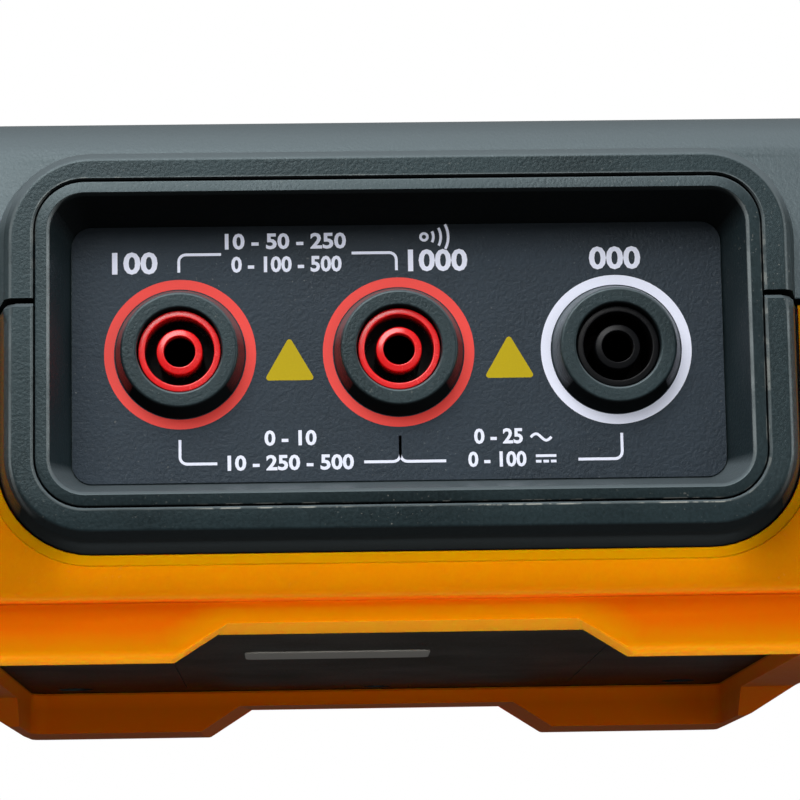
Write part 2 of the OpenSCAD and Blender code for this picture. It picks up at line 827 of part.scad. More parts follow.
module jack_board() {
    color(board_green) at_face(well_z) translate([0, 0, -well_depth + contact_end - board_t])
        linear_extrude(board_t) difference() {
            rounded(jack_board_w, jack_board_h, 2);
            for (x = jack_xs) translate([x, 0]) circle(0.8 + seat);
            for (x = [-1, 1]) translate([x * jack_post_x, 0]) circle(small_screw_r + seat);
        }
}

module jack_board_screws() {
    color(steel) at_face(well_z) for (x = [-1, 1])
        translate([x * jack_post_x, 0, -well_depth + contact_end - board_t]) mirror([0, 0, 1])
            screw(pilot_r - seat / 2, board_t + post_bite, small_head_r, small_head_h);
}

// Deck and display
module face_overlay() {
    color(slate) translate([0, 0, overlay_under]) linear_extrude(overlay_t) difference() {
        translate([0, (overlay_y0 + overlay_y1) / 2])
            rounded(2 * overlay_hw, overlay_y1 - overlay_y0, overlay_r - seat);
        translate([0, window_y]) rounded(window_w + 2 * seat, window_l + 2 * seat, window_r);
        at_keys() rounded(key_w + 2 * slip, key_l + 2 * slip, key_r + slip);
        translate([knob_x, control_y]) circle(bush_r + seat);
        translate([test_x, control_y]) circle(guard_r + seat);
        translate([lamp_x, lamp_y]) circle(lamp_r + seat);
    }
}

module display_window() {
    color([0.75, 0.8, 0.82]) translate([0, window_y, deck_z - window_t])
        pad(window_w, window_l, window_t, 3 - seat);
}

module lcd_frame() {
    w = window_w - 2 * lcd_frame_wall;
    l = window_l - 2 * lcd_frame_wall;
    color(pale) translate([0, window_y, display_top]) difference() {
        pad(window_w, window_l, lcd_frame_h, 2);
        translate([0, 0, -over]) box(w, l, lcd_frame_h + 2 * over);
    }
}

module lcd_sheet(h) {
    inset = 2 * lcd_frame_wall + 2 * seat;
    box(window_w - inset, window_l - inset, h);
}

module backlight_panel() {
    color([0.95, 0.97, 0.92]) translate([0, window_y, display_top]) lcd_sheet(backlight_t);
}

module lcd_glass() {
    color([0.55, 0.62, 0.52]) translate([0, window_y, display_top + backlight_t]) lcd_sheet(lcd_t);
}

module display_board() {
    color(board_green) translate([0, 0, display_under]) linear_extrude(board_t) difference() {
        translate([0, (display_y0 + display_y1) / 2])
            rounded(2 * display_hw, display_y1 - display_y0, board_r);
        at_bosses() circle(boss_r + slip);
        at_display_posts() circle(small_screw_r + seat);
    }
}

module display_board_screws() {
    color(steel) at_display_posts() translate([0, 0, display_under]) mirror([0, 0, 1])
        screw(pilot_r - seat / 2, board_t + display_bite, small_head_r, small_head_h);
}

// Selector
module at_knob() {
    translate([knob_x, control_y, 0]) children();
}

module selector_knob() {
    foot = deck_z + knob_gap;
    bar_l = knob_d - 4;
    color(dark) at_knob() difference() {
        union() {
            translate([0, 0, foot]) cylinder(h = knob_skirt_t, r1 = knob_d / 2, r2 = knob_d / 2 - 1);
            translate([0, 0, foot]) pad(knob_bar, bar_l, knob_h - knob_gap, knob_bar / 2 - 1);
        }
        translate([0, 0, deck_z]) cylinder(h = shaft_top - deck_z + seat, r = shaft_d / 2 + grip);
    }
}

module selector_shaft() {
    color(steel) at_knob() translate([0, 0, shaft_foot])
        cylinder(h = shaft_top - shaft_foot, r = shaft_d / 2);
}

module selector_bush() {
    color(brass) at_knob() difference() {
        union() {
            translate([0, 0, bush_foot]) cylinder(h = bush_flange_t, r = bush_flange_r);
            translate([0, 0, bush_foot]) cylinder(h = deck_z - bush_foot, r = bush_r);
        }
        translate([0, 0, bush_foot - over])
            cylinder(h = deck_z - bush_foot + 2 * over, r = shaft_d / 2 + run);
    }
}

module selector_rotor() {
    color(black) at_knob() difference() {
        union() {
            translate([0, 0, shaft_foot]) cylinder(h = rotor_t, r = rotor_r);
            translate([-rotor_tab / 2, -rotor_r - rotor_tab, shaft_foot])
                cube([rotor_tab, rotor_r, rotor_t]);
            translate([0, 0, shaft_foot])
                cylinder(h = bush_foot - slip - shaft_foot, r = shaft_d / 2 + 2.5);
        }
        translate([0, 0, shaft_foot - over])
            cylinder(h = deck_z - shaft_foot, r = shaft_d / 2 + grip);
    }
}

// Test button
module at_test() {
    translate([test_x, control_y, 0]) children();
}

module test_button() {
    foot = deck_z + test_h - test_skirt;
    color(orange) at_test() difference() {
        union() {
            translate([0, 0, foot]) cylinder(h = test_skirt - 1, r = test_d / 2);
            translate([0, 0, foot + test_skirt - 1])
                cylinder(h = 1, r1 = test_d / 2, r2 = test_d / 2 - 1);
        }
        translate([0, 0, foot - over]) cylinder(h = spring_roof - foot + over, r = spring_pocket_r);
    }
}

module test_stem() {
    color(black) at_test() {
        translate([0, 0, clip_z + clip_t + run])
            cylinder(h = spring_roof - clip_z - clip_t - run, r = test_stem_r);
        translate([0, 0, stem_foot]) cylinder(h = clip_z - run - stem_foot, r = test_stem_r);
        translate([0, 0, stem_foot]) cylinder(h = spring_roof - stem_foot, r = clip_neck_r);
    }
}

module test_clip() {
    mouth = 1.4 * clip_neck_r;
    color(steel) at_test() translate([0, 0, clip_z]) difference() {
        tube(clip_r, clip_neck_r + run, clip_t);
        translate([0, -mouth / 2, -over]) cube([2 * clip_r, mouth, clip_t + 2 * over]);
    }
}

module test_spring() {
    color(steel) at_test() translate([0, 0, deck_z])
        coil(test_spring_r, spring_wire_r, spring_roof - deck_z, 2.5, 16, 8);
}

module test_guard() {
    color([0.95, 0.7, 0.1]) at_test() translate([0, 0, overlay_under]) difference() {
        union() {
            cylinder(h = overlay_t, r = guard_r);
            translate([0, 0, overlay_t]) cylinder(h = guard_h, r1 = guard_r, r2 = guard_r - 1.5);
        }
        translate([0, 0, -over]) cylinder(h = guard_h + overlay_t + 2 * over, r = test_d / 2 + slip);
    }
}

module test_switch() {
    h = stem_foot - test_travel - slip - display_top;
    color(black) at_test() translate([0, 0, display_top]) box(12, 7, h);
}

// Function keys
module function_key(i) {
    color(dark) translate([(i - (key_count - 1) / 2) * key_pitch, key_y, 0]) {
        translate([0, 0, deck_under - slip]) pad(key_w, key_l, wall + slip + key_up, key_r);
        translate([0, 0, deck_under - slip - key_flange_t])
            pad(key_w + 2 * key_flange, key_l + 2 * key_flange, key_flange_t, key_r + key_flange);
        translate([0, 0, key_foot]) cylinder(h = deck_under - slip - key_foot, r = 2);
    }
}

module key_backlight() {
    function_key(0);
}

module key_hold() {
    function_key(1);
}

module key_range() {
    function_key(2);
}

module key_timer() {
    function_key(3);
}

module key_compare() {
    function_key(4);
}

module key_switches() {
    color(black) at_keys() translate([0, 0, display_top]) {
        box(tact_w, tact_w, tact_h - 1);
        translate([0, 0, tact_h - 1]) cylinder(h = 1, r = 1.6);
    }
}

module warning_lamp() {
    color(red) translate([lamp_x, lamp_y, display_top]) {
        cylinder(h = 1, r = lamp_r + 0.5);
        cylinder(h = deck_z - display_top, r = lamp_r);
        translate([0, 0, deck_z - display_top]) cylinder(h = 0.8, r1 = lamp_r, r2 = lamp_r - 1);
    }
}

// Main board
module main_board() {
    color(board_green) translate([0, 0, main_under]) linear_extrude(board_t) difference() {
        translate([0, (main_y0 + main_y1) / 2]) rounded(2 * main_hw, main_y1 - main_y0, board_r);
        at_bosses() circle(boss_r + slip);
        at_main_posts() circle(small_screw_r + seat);
    }
}

module main_board_screws() {
    color(steel) at_main_posts() translate([0, 0, main_top])
        screw(pilot_r - seat / 2, board_t + post_bite, small_head_r, small_head_h);
}

module board_header() {
    back = jack_board_y + board_t;
    color(black) translate([0, back + header_l / 2, main_top]) box(jack_pitch, header_l, header_h);
}

module stacking_header() {
    color(black) translate([0, main_y1 - 2 * link_l, main_top])
        box(link_w, link_l, display_under - main_top);
}

module transformer_winding() {
    color([0.8, 0.6, 0.2]) translate([row_x, main_y, main_top]) {
        box(2 * bobbin_r + 3, 2 * core_l, bobbin_foot);
        translate([0, 0, bobbin_foot]) cylinder(h = bobbin_h, r = bobbin_r);
    }
}

module transformer_core() {
    color([0.2, 0.2, 0.22]) translate([row_x, main_y, main_top + bobbin_foot]) difference() {
        union() {
            translate([0, 0, bobbin_h]) box(core_w, core_l, core_leg);
            for (x = [-1, 1]) translate([x * (core_w - core_leg) / 2, 0, 0])
                box(core_leg, core_l, bobbin_h + core_leg / 2);
        }
        cylinder(h = bobbin_h, r = bobbin_r + seat);
    }
}

module hv_capacitors() {
    color([0.1, 0.25, 0.5]) for (i = [0:2]) translate([-row_x, main_y - (i + 1) * cap_pitch, main_top])
        cylinder(h = cap_h, r = cap_r);
}

module relays() {
    color([0.15, 0.3, 0.55]) for (i = [0, 1])
        translate([-row_x, main_y + relay_l / 2 + i * relay_pitch, main_top])
            box(relay_w, relay_l, relay_h);
}

module at_fuse() {
    translate([row_x, main_y - 2 * core_l - 2 * clip_l, main_top]) children();
}

module fuse() {
    color(pale) at_fuse() translate([0, 0, fuse_z]) rotate([90, 0, 90])
        cylinder(h = fuse_l, r = fuse_r, center = true);
}

module fuse_clips() {
    color(brass) at_fuse() for (x = [-1, 1]) translate([x * (fuse_l - clip_w) / 2, 0, 0]) difference() {
        box(clip_w, clip_l, fuse_z + 1);
        translate([0, 0, fuse_z]) rotate([90, 0, 90])
            cylinder(h = clip_w + 2 * over, r = fuse_r + grip, center = true);
    }
}

module buzzer() {
    color(black) translate([0, main_y - 2 * core_l - clip_l, main_top])
        tube(buzzer_r, buzzer_r / 7, buzzer_h);
}

module chips() {
    color(black) translate([0, main_y, main_top]) {
        box(chip_w, chip_w, chip_t);
        translate([0, 2 * chip_w, 0]) box(chip_w, chip_w, chip_t);
        translate([0, -chip_w, 0]) box(chip_w / 2, chip_w / 3, chip_t);
    }
}

// Battery bay: two rows of cells, turned end for end in neighbouring columns
module at_cells() {
    for (row = [-1, 1], column = [0:cell_columns - 1])
        translate([(column - (cell_columns - 1) / 2) * cell_pitch,
            bay_y + row * (slot_l + bay_divider) / 2, cell_z])
            rotate([column % 2 == 0 ? 90 : -90, 0, 0]) translate([0, 0, -slot_l / 2]) children();
}

module battery_cells() {
    nub = 1;
    color([0.2, 0.35, 0.6]) at_cells() translate([0, 0, contact_t + spring_l]) {
        cylinder(h = cell_l - nub, r = cell_d / 2);
        translate([0, 0, cell_l - nub]) cylinder(h = nub, r = 2.7);
    }
}

module battery_springs() {
    color(steel) at_cells() translate([0, 0, contact_t]) coil(3.6, 0.4, spring_l, 2, 10, 6);
}

module battery_plates() {
    color(steel) at_cells() for (z = [0, slot_l - contact_t]) translate([0, 0, z]) box(10, 10, contact_t);
}

module battery_cover() {
    color(dark) translate([0, bay_y, floor_z]) difference() {
        cover_shape(wall, 0);
        for (end = [-1, 1]) translate([0, end * (bay_l + cover_tab) / 2, -over]) {
            cylinder(h = wall + 2 * over, r = small_screw_r + seat);
            cylinder(h = wall - 1 + over, r = 2.4);
        }
    }
}

module cover_screws() {
    color(steel) for (end = [-1, 1])
        translate([0, bay_y + end * (bay_l + cover_tab) / 2, floor_z + wall - 1]) mirror([0, 0, 1])
            screw(pilot_r - seat / 2, cover_bite, small_head_r, cover_head_h);
}

module case_screws() {
    head = 2.4;
    color(steel) at_bosses() translate([0, 0, floor_z + screw_sink]) mirror([0, 0, 1])
        screw(screw_d / 2 - 0.25, split_z - floor_z + 2 * screw_d, screw_d - seat, head);
}

module rating_plate() {
    color(pale) translate([-7.5, bay_y - 12, floor_z - plate_film]) pad(28, 12, plate_film, 1.5);
}

upper_case();
lower_case();
protective_boot();
case_gasket();
socket_bezel();
socket_block();
jack_collars();
socket_label();
jack_body_low();
jack_body_high();
jack_body_common();
jack_contacts();
jack_clamp();
jack_clamp_screws();
jack_board();
jack_board_screws();
face_overlay();
display_window();
lcd_glass();
lcd_frame();
backlight_panel();
display_board();
display_board_screws();
selector_knob();
selector_shaft();
selector_rotor();
selector_bush();
test_button();
test_stem();
test_clip();
test_spring();
test_guard();
test_switch();
key_backlight();
key_hold();
key_range();
key_timer();
key_compare();
key_switches();
warning_lamp();
main_board();
main_board_screws();
board_header();
stacking_header();
transformer_core();
transformer_winding();
hv_capacitors();
relays();
fuse();
fuse_clips();
buzzer();
chips();
battery_cells();
battery_springs();
battery_plates();
battery_cover();
cover_screws();
case_screws();
rating_plate();
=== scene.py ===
# %% [markdown]
# # An insulation resistance tester, seen from its socket end
# This lesson dresses a measured model of a bench tester: two dark case halves in an
# orange rubber boot, with three test sockets in a framed recess.
# The measured solids come from the frame. They stay in charge of every size, and each piece
# made here takes the place of one of them or lies on it.

# %% Load the measured frame
import json
import math

import bmesh
import bpy
from mathutils import Matrix, Vector


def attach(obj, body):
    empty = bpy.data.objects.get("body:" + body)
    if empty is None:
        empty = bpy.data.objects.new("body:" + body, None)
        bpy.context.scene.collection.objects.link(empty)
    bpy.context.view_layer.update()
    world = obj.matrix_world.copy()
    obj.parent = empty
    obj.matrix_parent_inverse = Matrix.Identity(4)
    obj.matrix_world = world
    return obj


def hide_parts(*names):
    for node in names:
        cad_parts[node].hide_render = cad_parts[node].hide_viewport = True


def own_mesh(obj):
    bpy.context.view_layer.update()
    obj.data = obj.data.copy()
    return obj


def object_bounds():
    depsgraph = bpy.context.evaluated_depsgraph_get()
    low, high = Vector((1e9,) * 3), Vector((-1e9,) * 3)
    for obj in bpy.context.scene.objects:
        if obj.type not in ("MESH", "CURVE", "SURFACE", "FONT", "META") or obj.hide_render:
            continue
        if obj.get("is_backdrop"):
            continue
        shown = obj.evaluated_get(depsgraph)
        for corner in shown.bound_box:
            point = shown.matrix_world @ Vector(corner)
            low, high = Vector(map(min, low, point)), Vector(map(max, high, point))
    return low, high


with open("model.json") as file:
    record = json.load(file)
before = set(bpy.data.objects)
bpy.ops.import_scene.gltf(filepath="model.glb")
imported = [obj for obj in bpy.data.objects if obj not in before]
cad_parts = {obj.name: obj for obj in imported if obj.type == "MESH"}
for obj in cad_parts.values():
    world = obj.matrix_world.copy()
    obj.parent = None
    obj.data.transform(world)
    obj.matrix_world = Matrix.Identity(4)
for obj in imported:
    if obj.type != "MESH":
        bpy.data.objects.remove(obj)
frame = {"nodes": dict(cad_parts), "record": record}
cad_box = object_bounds()
scene = bpy.context.scene
MM = 0.001

# %% [markdown]
# ## The camera
# The photo is a close-up from just below table height, with a long lens that looks slightly up.
# We build the view from its place and three small angles, because a long lens makes
# half a degree easy to see.

# %% Camera
eye = Vector((-12.36, -501.3, -32.84)) * MM
pitch, turn, roll = (math.radians(a) for a in (8.936, 1.712, -0.984))
ahead = Vector((math.sin(turn) * math.cos(pitch), math.cos(turn) * math.cos(pitch), math.sin(pitch)))
level = Vector((math.cos(turn), -math.sin(turn), 0))
upright = level.cross(ahead)
right = level * math.cos(roll) + upright * math.sin(roll)
top = upright * math.cos(roll) - level * math.sin(roll)

camera = bpy.data.objects.new("camera", bpy.data.cameras.new("camera"))
camera.data.lens, camera.data.sensor_width, camera.data.clip_start = 149.09, 36, 0.02
camera.matrix_world = Matrix.Translation(eye) @ Matrix((right, top, -ahead)).transposed().to_4x4()
scene.collection.objects.link(camera)
scene.camera = camera
scene.view_settings.view_transform = "Standard"
print("camera looks up by", round(math.degrees(pitch), 1), "degrees")

# %% [markdown]
# ## Colours and nodes
# Colours are read off a screen as 0 to 255, but a renderer adds up light,
# so each one is turned into linear values first.
# A small helper makes a node, fills its inputs and links whatever is a socket. The others are short names
# for the nodes that come up again and again. A socket knows its own tree, so they need only the socket.

# %% Colour and node helpers
def tint(r, g, b):
    """A screen colour as linear light."""
    parts = [c / 255 for c in (r, g, b)]
    return (*(c / 12.92 if c <= 0.04045 else ((c + 0.055) / 1.055) ** 2.4 for c in parts), 1.0)


def node(tree, kind, inputs=None, **settings):
    """A new node, with its settings made and its inputs set or linked."""
    made = tree.nodes.new(kind)
    for name, value in settings.items():
        setattr(made, name, value)
    for name, value in (inputs or {}).items():
        if isinstance(value, bpy.types.NodeSocket):
            tree.links.new(value, made.inputs[name])
        else:
            made.inputs[name].default_value = value
    return made


def maths(operation, a, b=0.0):
    """One step of arithmetic on numbers or sockets."""
    socket = a if isinstance(a, bpy.types.NodeSocket) else b
    return node(socket.id_data, "ShaderNodeMath", {0: a, 1: b}, operation=operation).outputs[0]


def times(first, *others):
    """All of them multiplied. Masks multiplied are where all of them are."""
    for other in others:
        first = maths("MULTIPLY", first, other)
    return first


def blend(factor, a, b):
    """Colour a where factor is 0, and b where it is 1."""
    return node(factor.id_data, "ShaderNodeMix", {0: factor, 6: a, 7: b}, data_type="RGBA").outputs[2]


def ramp(value, low, high, to_low=0.0, to_high=1.0):
    """Value stretched from low..high to a new range, and held at its ends."""
    inputs = {0: value, 1: low, 2: high, 3: to_low, 4: to_high}
    return node(value.id_data, "ShaderNodeMapRange", inputs).outputs[0]


def noise(vector, scale, detail=2.0):
    """Soft random values, with about scale waves in a metre."""
    inputs = {"Vector": vector, "Scale": scale, "Detail": detail}
    return node(vector.id_data, "ShaderNodeTexNoise", inputs).outputs[0]


def place_on(tree):
    """Where a point lies on the object, in metres."""
    return node(tree, "ShaderNodeTexCoord").outputs["Object"]


def xyz(vector):
    """The three parts of a vector."""
    return node(vector.id_data, "ShaderNodeSeparateXYZ", {0: vector}).outputs

# %% [markdown]
# ## Light, background and floor
# A product photo like this has a white background and big soft lights.
# The background is white only for what the camera sees, also through glass. For everything else it is
# dimmer, and darker below than above, so that the recess and the underside keep their shadow.

# %% World
world = bpy.data.worlds.new("studio")
scene.world = world
world.use_nodes = True
sky = world.node_tree
sky.nodes.clear()
path = node(sky, "ShaderNodeLightPath").outputs
seen = maths("MAXIMUM", path["Is Camera Ray"], path["Is Transmission Ray"])
rise = xyz(node(sky, "ShaderNodeTexCoord").outputs["Generated"])[2]
GLOW_BELOW, GLOW_ABOVE, WHITE = 0.1, 0.22, (1, 1, 1, 1)
glow = ramp(rise, -0.05, 0.15, GLOW_BELOW, GLOW_ABOVE)
soft = node(sky, "ShaderNodeBackground", {"Color": WHITE, "Strength": glow})
white = node(sky, "ShaderNodeBackground", {"Color": WHITE, "Strength": 1.0})
both = node(sky, "ShaderNodeMixShader", {0: seen, 1: soft.outputs[0], 2: white.outputs[0]})
node(sky, "ShaderNodeOutputWorld", {"Surface": both.outputs[0]})
print("the room glows at", GLOW_BELOW, "below and", GLOW_ABOVE, "above")

# %% [markdown]
# The key lamp stands in front, above and to the left, and a lamp at table height lights the same end
# flat on. Gloss doesn't see that second one, so the dark plastic keeps its depth. One lamp overhead, one
# behind and one on either side light what this view leaves out. Three weak ones stand low, where a white
# table would send light up: "fill" lights the boot's front, "edge" the boot's lower edge from close by,
# and "groove", a very small one under the frame, makes the boot's lip glow as in the photo.

# %% Lamps
def lamp(name, place, aim, size, watts, mirrored=True):
    """A soft light that faces a point, size (width, height). Gloss shows it only if it is mirrored."""
    light = bpy.data.lights.new(name, "AREA")
    light.shape, light.energy = "RECTANGLE", watts
    light.size, light.size_y = size
    holder = bpy.data.objects.new(name, light)
    holder.location = place
    holder.rotation_euler = (Vector(aim) - Vector(place)).to_track_quat("-Z", "Y").to_euler()
    holder.visible_camera = False
    holder.visible_glossy = mirrored
    scene.collection.objects.link(holder)
    print(name, "lamp of", watts, "watts")


SOCKET_END = (0, -0.09, 0.04)
lamp("key", (-0.22, -0.72, 0.54), SOCKET_END, (0.6, 0.6), 6.4)
lamp("front", (0.25, -0.95, 0.0), SOCKET_END, (0.8, 0.3), 3.1, mirrored=False)
lamp("over", (0, -0.2, 0.9), (0, -0.05, 0.07), (0.5, 0.5), 0.7)
lamp("fill", (0, -0.32, -0.13), (0, -0.09, 0.03), (0.5, 0.1), 0.03)
lamp("edge", (0, -0.09, -0.028), (0, -0.082, 0), (0.2, 0.012), 0.055)
lamp("groove", (0, -0.0925, 0.0118), (0, -0.088, 0.0124), (0.086, 0.002), 0.0026)
lamp("back", (0.2, 0.8, 0.3), (0, 0, 0.05), (0.6, 0.6), 3.5, mirrored=False)
for x, watts in ((-0.7, 0.9), (0.7, 1.4)):
    lamp("side", (x, -0.27, 0.12), (0, -0.08, 0.04), (0.4, 0.4), watts)

# %% [markdown]
# The floor is a pale sheet at the height of the feet. The camera stands a little below that height,
# so the sheet lets light through from underneath, and from above it keeps the object's shadow.
# Only the camera sees it. For the light it isn't there, so that the low lamps can stand under it.

# %% Floor
REACH = 3.0
sheet = bpy.data.meshes.new("floor")
sheet.from_pydata([(-REACH, -REACH, 0), (REACH, -REACH, 0), (REACH, REACH, 0), (-REACH, REACH, 0)],
                  [], [(0, 1, 2, 3)])
floor = bpy.data.objects.new("floor", sheet)
scene.collection.objects.link(floor)

paper = bpy.data.materials.new("pale_floor")
paper.use_nodes = True
tree = paper.node_tree
bsdf = tree.nodes["Principled BSDF"]
bsdf.inputs["Roughness"].default_value = 0.8
pale = blend(noise(place_on(tree), 30.0), tint(232, 232, 232), tint(242, 242, 242))
tree.links.new(pale, bsdf.inputs["Base Color"])
behind = node(tree, "ShaderNodeNewGeometry").outputs["Backfacing"]
camera_ray = node(tree, "ShaderNodeLightPath").outputs["Is Camera Ray"]
facing = maths("SUBTRACT", camera_ray, behind)
clear = node(tree, "ShaderNodeBsdfTransparent")
shown = node(tree, "ShaderNodeMixShader", {0: facing, 1: clear.outputs[0], 2: bsdf.outputs[0]})
tree.links.new(shown.outputs[0], tree.nodes["Material Output"].inputs["Surface"])
sheet.materials.append(paper)
floor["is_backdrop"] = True
print("floor", 2 * REACH, "m wide")

# %% [markdown]
# ## Surface effects that several materials share
# Moulded plastic and rubber carry the fine spark grain of their steel mould,
# and their colour is never quite even. Both come from noise, so we keep them in one group
# that any material can use at its own grain size.

# %% Node group for moulded grain
def group(name, inputs, outputs):
    """An empty shader group with its sockets named."""
    made = bpy.data.node_groups.new(name, "ShaderNodeTree")
    for label, kind, value in inputs:
        socket = made.interface.new_socket(label, in_out="INPUT", socket_type=kind)
        if value is not None:
            socket.default_value = value
    for label in outputs:
        made.interface.new_socket(label, in_out="OUTPUT", socket_type="NodeSocketFloat")
    return made, made.nodes.new("NodeGroupInput").outputs, made.nodes.new("NodeGroupOutput").inputs


FLOAT, VECTOR = "NodeSocketFloat", "NodeSocketVector"
grain, given, result = group("moulded_grain", [("Place", VECTOR, None), ("Grain Size", FLOAT, 0.0004)],
                             ["Height", "Tone"])
fine = noise(given["Place"], maths("DIVIDE", 1.0, given["Grain Size"]), 3.0)
broad = noise(given["Place"], 55.0, 3.0)
grain.links.new(fine, result["Height"])
tone = maths("ADD", times(fine, 0.45), times(broad, 0.55))
grain.links.new(ramp(tone, 0.35, 0.65), result["Tone"])

# %% [markdown]
# A tester lives in a tool bag, so pale dust settles in patches.
# Two noises multiplied give specks that gather in some places and leave others clean.

# %% Node group for dust
dust, given, result = group("bag_dust", [("Place", VECTOR, None), ("Amount", FLOAT, 0.3)], ["Mask"])
specks = ramp(noise(given["Place"], 2400.0), 0.66, 0.74)
patches = ramp(noise(given["Place"], 70.0), 0.45, 0.65)
dust.links.new(times(specks, patches, given["Amount"]), result["Mask"])

# %% [markdown]
# Edges of dark plastic are painted pale, partly rubbed wear and partly painted highlight, and the seam
# between the frame and its insert has been knocked.
# The group measures how far a point lies outside a rounded rectangle. A thin line along it is the
# rubbed edge with its painted highlight, and broken stretches of a wider line are the knocks.

# %% Node group for worn edges and painted edge highlights
edge_wear_and_highlight, given, result = group(
    "worn_and_highlit_edge", [("Place", VECTOR, None), ("Half Size", VECTOR, (0, 0, 0)), ("Middle", VECTOR, (0, 0, 0)),
                  ("Radius", FLOAT, 0.005)], ["Beyond", "Line", "Knocks"])


def vectors(operation, a, b=(0, 0, 0)):
    """One step of arithmetic on vectors."""
    return node(a.id_data, "ShaderNodeVectorMath", {0: a, 1: b}, operation=operation).outputs


offset = vectors("SUBTRACT", given["Place"], given["Middle"])[0]
flat = vectors("MULTIPLY", offset, (1, 0, 1))[0]
over = vectors("SUBTRACT", vectors("ABSOLUTE", flat)[0], given["Half Size"])[0]
length = vectors("LENGTH", vectors("MAXIMUM", over)[0])["Value"]
beyond = maths("SUBTRACT", length, given["Radius"])
edge_wear_and_highlight.links.new(beyond, result["Beyond"])
axes = xyz(offset)
front_only = maths("LESS_THAN", axes[1], 0.0008)
middle = maths("ABSOLUTE", maths("SUBTRACT", beyond, 0.00015))
# The thin line is rubbed wear and a painted edge highlight.
rubbed_and_highlit = ramp(middle, 0.00012, 0.00024, 1.0, 0.0)
uneven = ramp(noise(given["Place"], 300.0, 3.0), 0.3, 0.6, 0.4, 1.0)
edge_wear_and_highlight.links.new(times(rubbed_and_highlit, uneven, front_only), result["Line"])

# %% Knocks along the line
band = ramp(maths("ABSOLUTE", beyond), 0.0002, 0.0004, 1.0, 0.0)
broken = ramp(noise(given["Place"], 420.0, 4.0), 0.5, 0.56)
stretches = ramp(noise(given["Place"], 42.0, 1.0), 0.47, 0.56)
underneath = ramp(axes[2], -0.018, -0.01, 1.0, 0.3)
edge_wear_and_highlight.links.new(times(band, broken, stretches, front_only, underneath), result["Knocks"])

# %% [markdown]
# The sockets are painted near black inside as shade.
# The group gives how deep a point lies behind a mouth, from 0 to 1 over a given way.

# %% Node group for painted shade in holes
depth_shade, given, result = group(
    "painted_depth_shade", [("Place", VECTOR, None), ("Mouth", FLOAT, 0.0), ("Way", FLOAT, 0.002)], ["Mask"])
inward = maths("SUBTRACT", xyz(given["Place"])[1], given["Mouth"])
depth_shade.links.new(ramp(maths("DIVIDE", inward, given["Way"]), 0.0, 1.0), result["Mask"])

# %% [markdown]
# ## One recipe for most materials
# Every finish here is a colour that drifts a little, a roughness that drifts with it, and a fine grain
# that tilts the light. What makes rubber, plastic or steel differ is the numbers, so one function
# builds them all. Numbers that are the same everywhere go straight onto the shader.

# %% Material recipe
DUST_COLOUR = tint(170, 168, 160)
FINISH = {}


def effect(tree, shared, inputs):
    """One of the groups above, at work on a material's object."""
    return node(tree, "ShaderNodeGroup", {"Place": place_on(tree), **inputs}, node_tree=shared).outputs


def finish(name, colour, rough, size=0.4, depth=0.02, drift=0.12, dusty=0.0, **shader):
    """A procedural material, kept in FINISH by its name. Grain size and depth are in millimetres."""
    made = bpy.data.materials.new(name)
    made.use_nodes = True
    tree = made.node_tree
    bsdf = tree.nodes["Principled BSDF"]
    skin = effect(tree, grain, {"Grain Size": size * MM})
    low, high = ((*(c * share for c in tint(*colour)[:3]), 1) for share in (1 - drift, 1 + drift))
    base = blend(skin["Tone"], low, high)
    if dusty:
        base = blend(effect(tree, dust, {"Amount": dusty})["Mask"], base, DUST_COLOUR)
    tree.links.new(base, bsdf.inputs["Base Color"])
    drifting = ramp(skin["Tone"], 0.0, 1.0, max(rough - 0.05, 0.02), min(rough + 0.07, 1))
    tree.links.new(drifting, bsdf.inputs["Roughness"])
    bump = node(tree, "ShaderNodeBump", {"Height": skin["Height"], "Distance": depth * MM})
    tree.links.new(bump.outputs[0], bsdf.inputs["Normal"])
    for socket, value in shader.items():
        bsdf.inputs[socket.replace("_", " ")].default_value = value
    FINISH[name] = made
    return made

# %% Finishes that show
finish("boot_rubber", (179, 106, 0), 0.55, 0.5, 0.02, 0.04, 0.05,
       Specular_IOR_Level=0.2, Specular_Tint=tint(255, 170, 20), Subsurface_Weight=0.5,
       Subsurface_Radius=(1.0, 0.08, 0.02), Subsurface_Scale=0.004)
finish("gasket_rubber", (28, 28, 28), 0.75, 0.4, 0.02, 0.15)
finish("label_print", (30, 38, 46), 0.5, 0.4, 0.07, 0.3, 0.25,
       Specular_Tint=tint(225, 242, 255))
finish("deck_print", (52, 57, 62), 0.5, 0.25, 0.02, 0.08)
finish("jack_red", (222, 23, 26), 0.22, 0.6, 0.004, 0.06, Specular_IOR_Level=0.8)
finish("jack_black", (11, 12, 14), 0.34, 0.6, 0.006, 0.12, Specular_IOR_Level=0.2)
finish("window_clear", (236, 240, 240), 0.06, 2.0, 0.001, 0.02,
       Transmission_Weight=1.0, IOR=1.46, Specular_IOR_Level=0.12)
finish("knob_plastic", (38, 41, 43), 0.42, 0.35, 0.02, 0.1)
finish("button_plastic", (236, 130, 10), 0.38, 0.4, 0.012, 0.06)
finish("guard_plastic", (226, 178, 32), 0.45, 0.4, 0.02, 0.07)
finish("key_rubber", (86, 92, 98), 0.6, 0.3, 0.02, 0.08)
finish("lamp_lens", (205, 28, 22), 0.12, 0.8, 0.004, 0.08,
       Transmission_Weight=0.35, IOR=1.49)
print(len(FINISH), "finishes so far")

# %% [markdown]
# The pieces inside and the metal parts use the same recipe with their own colours.
# Steel and brass are metallic, laminate is a glossy green, and the cells have a smooth printed wrap.

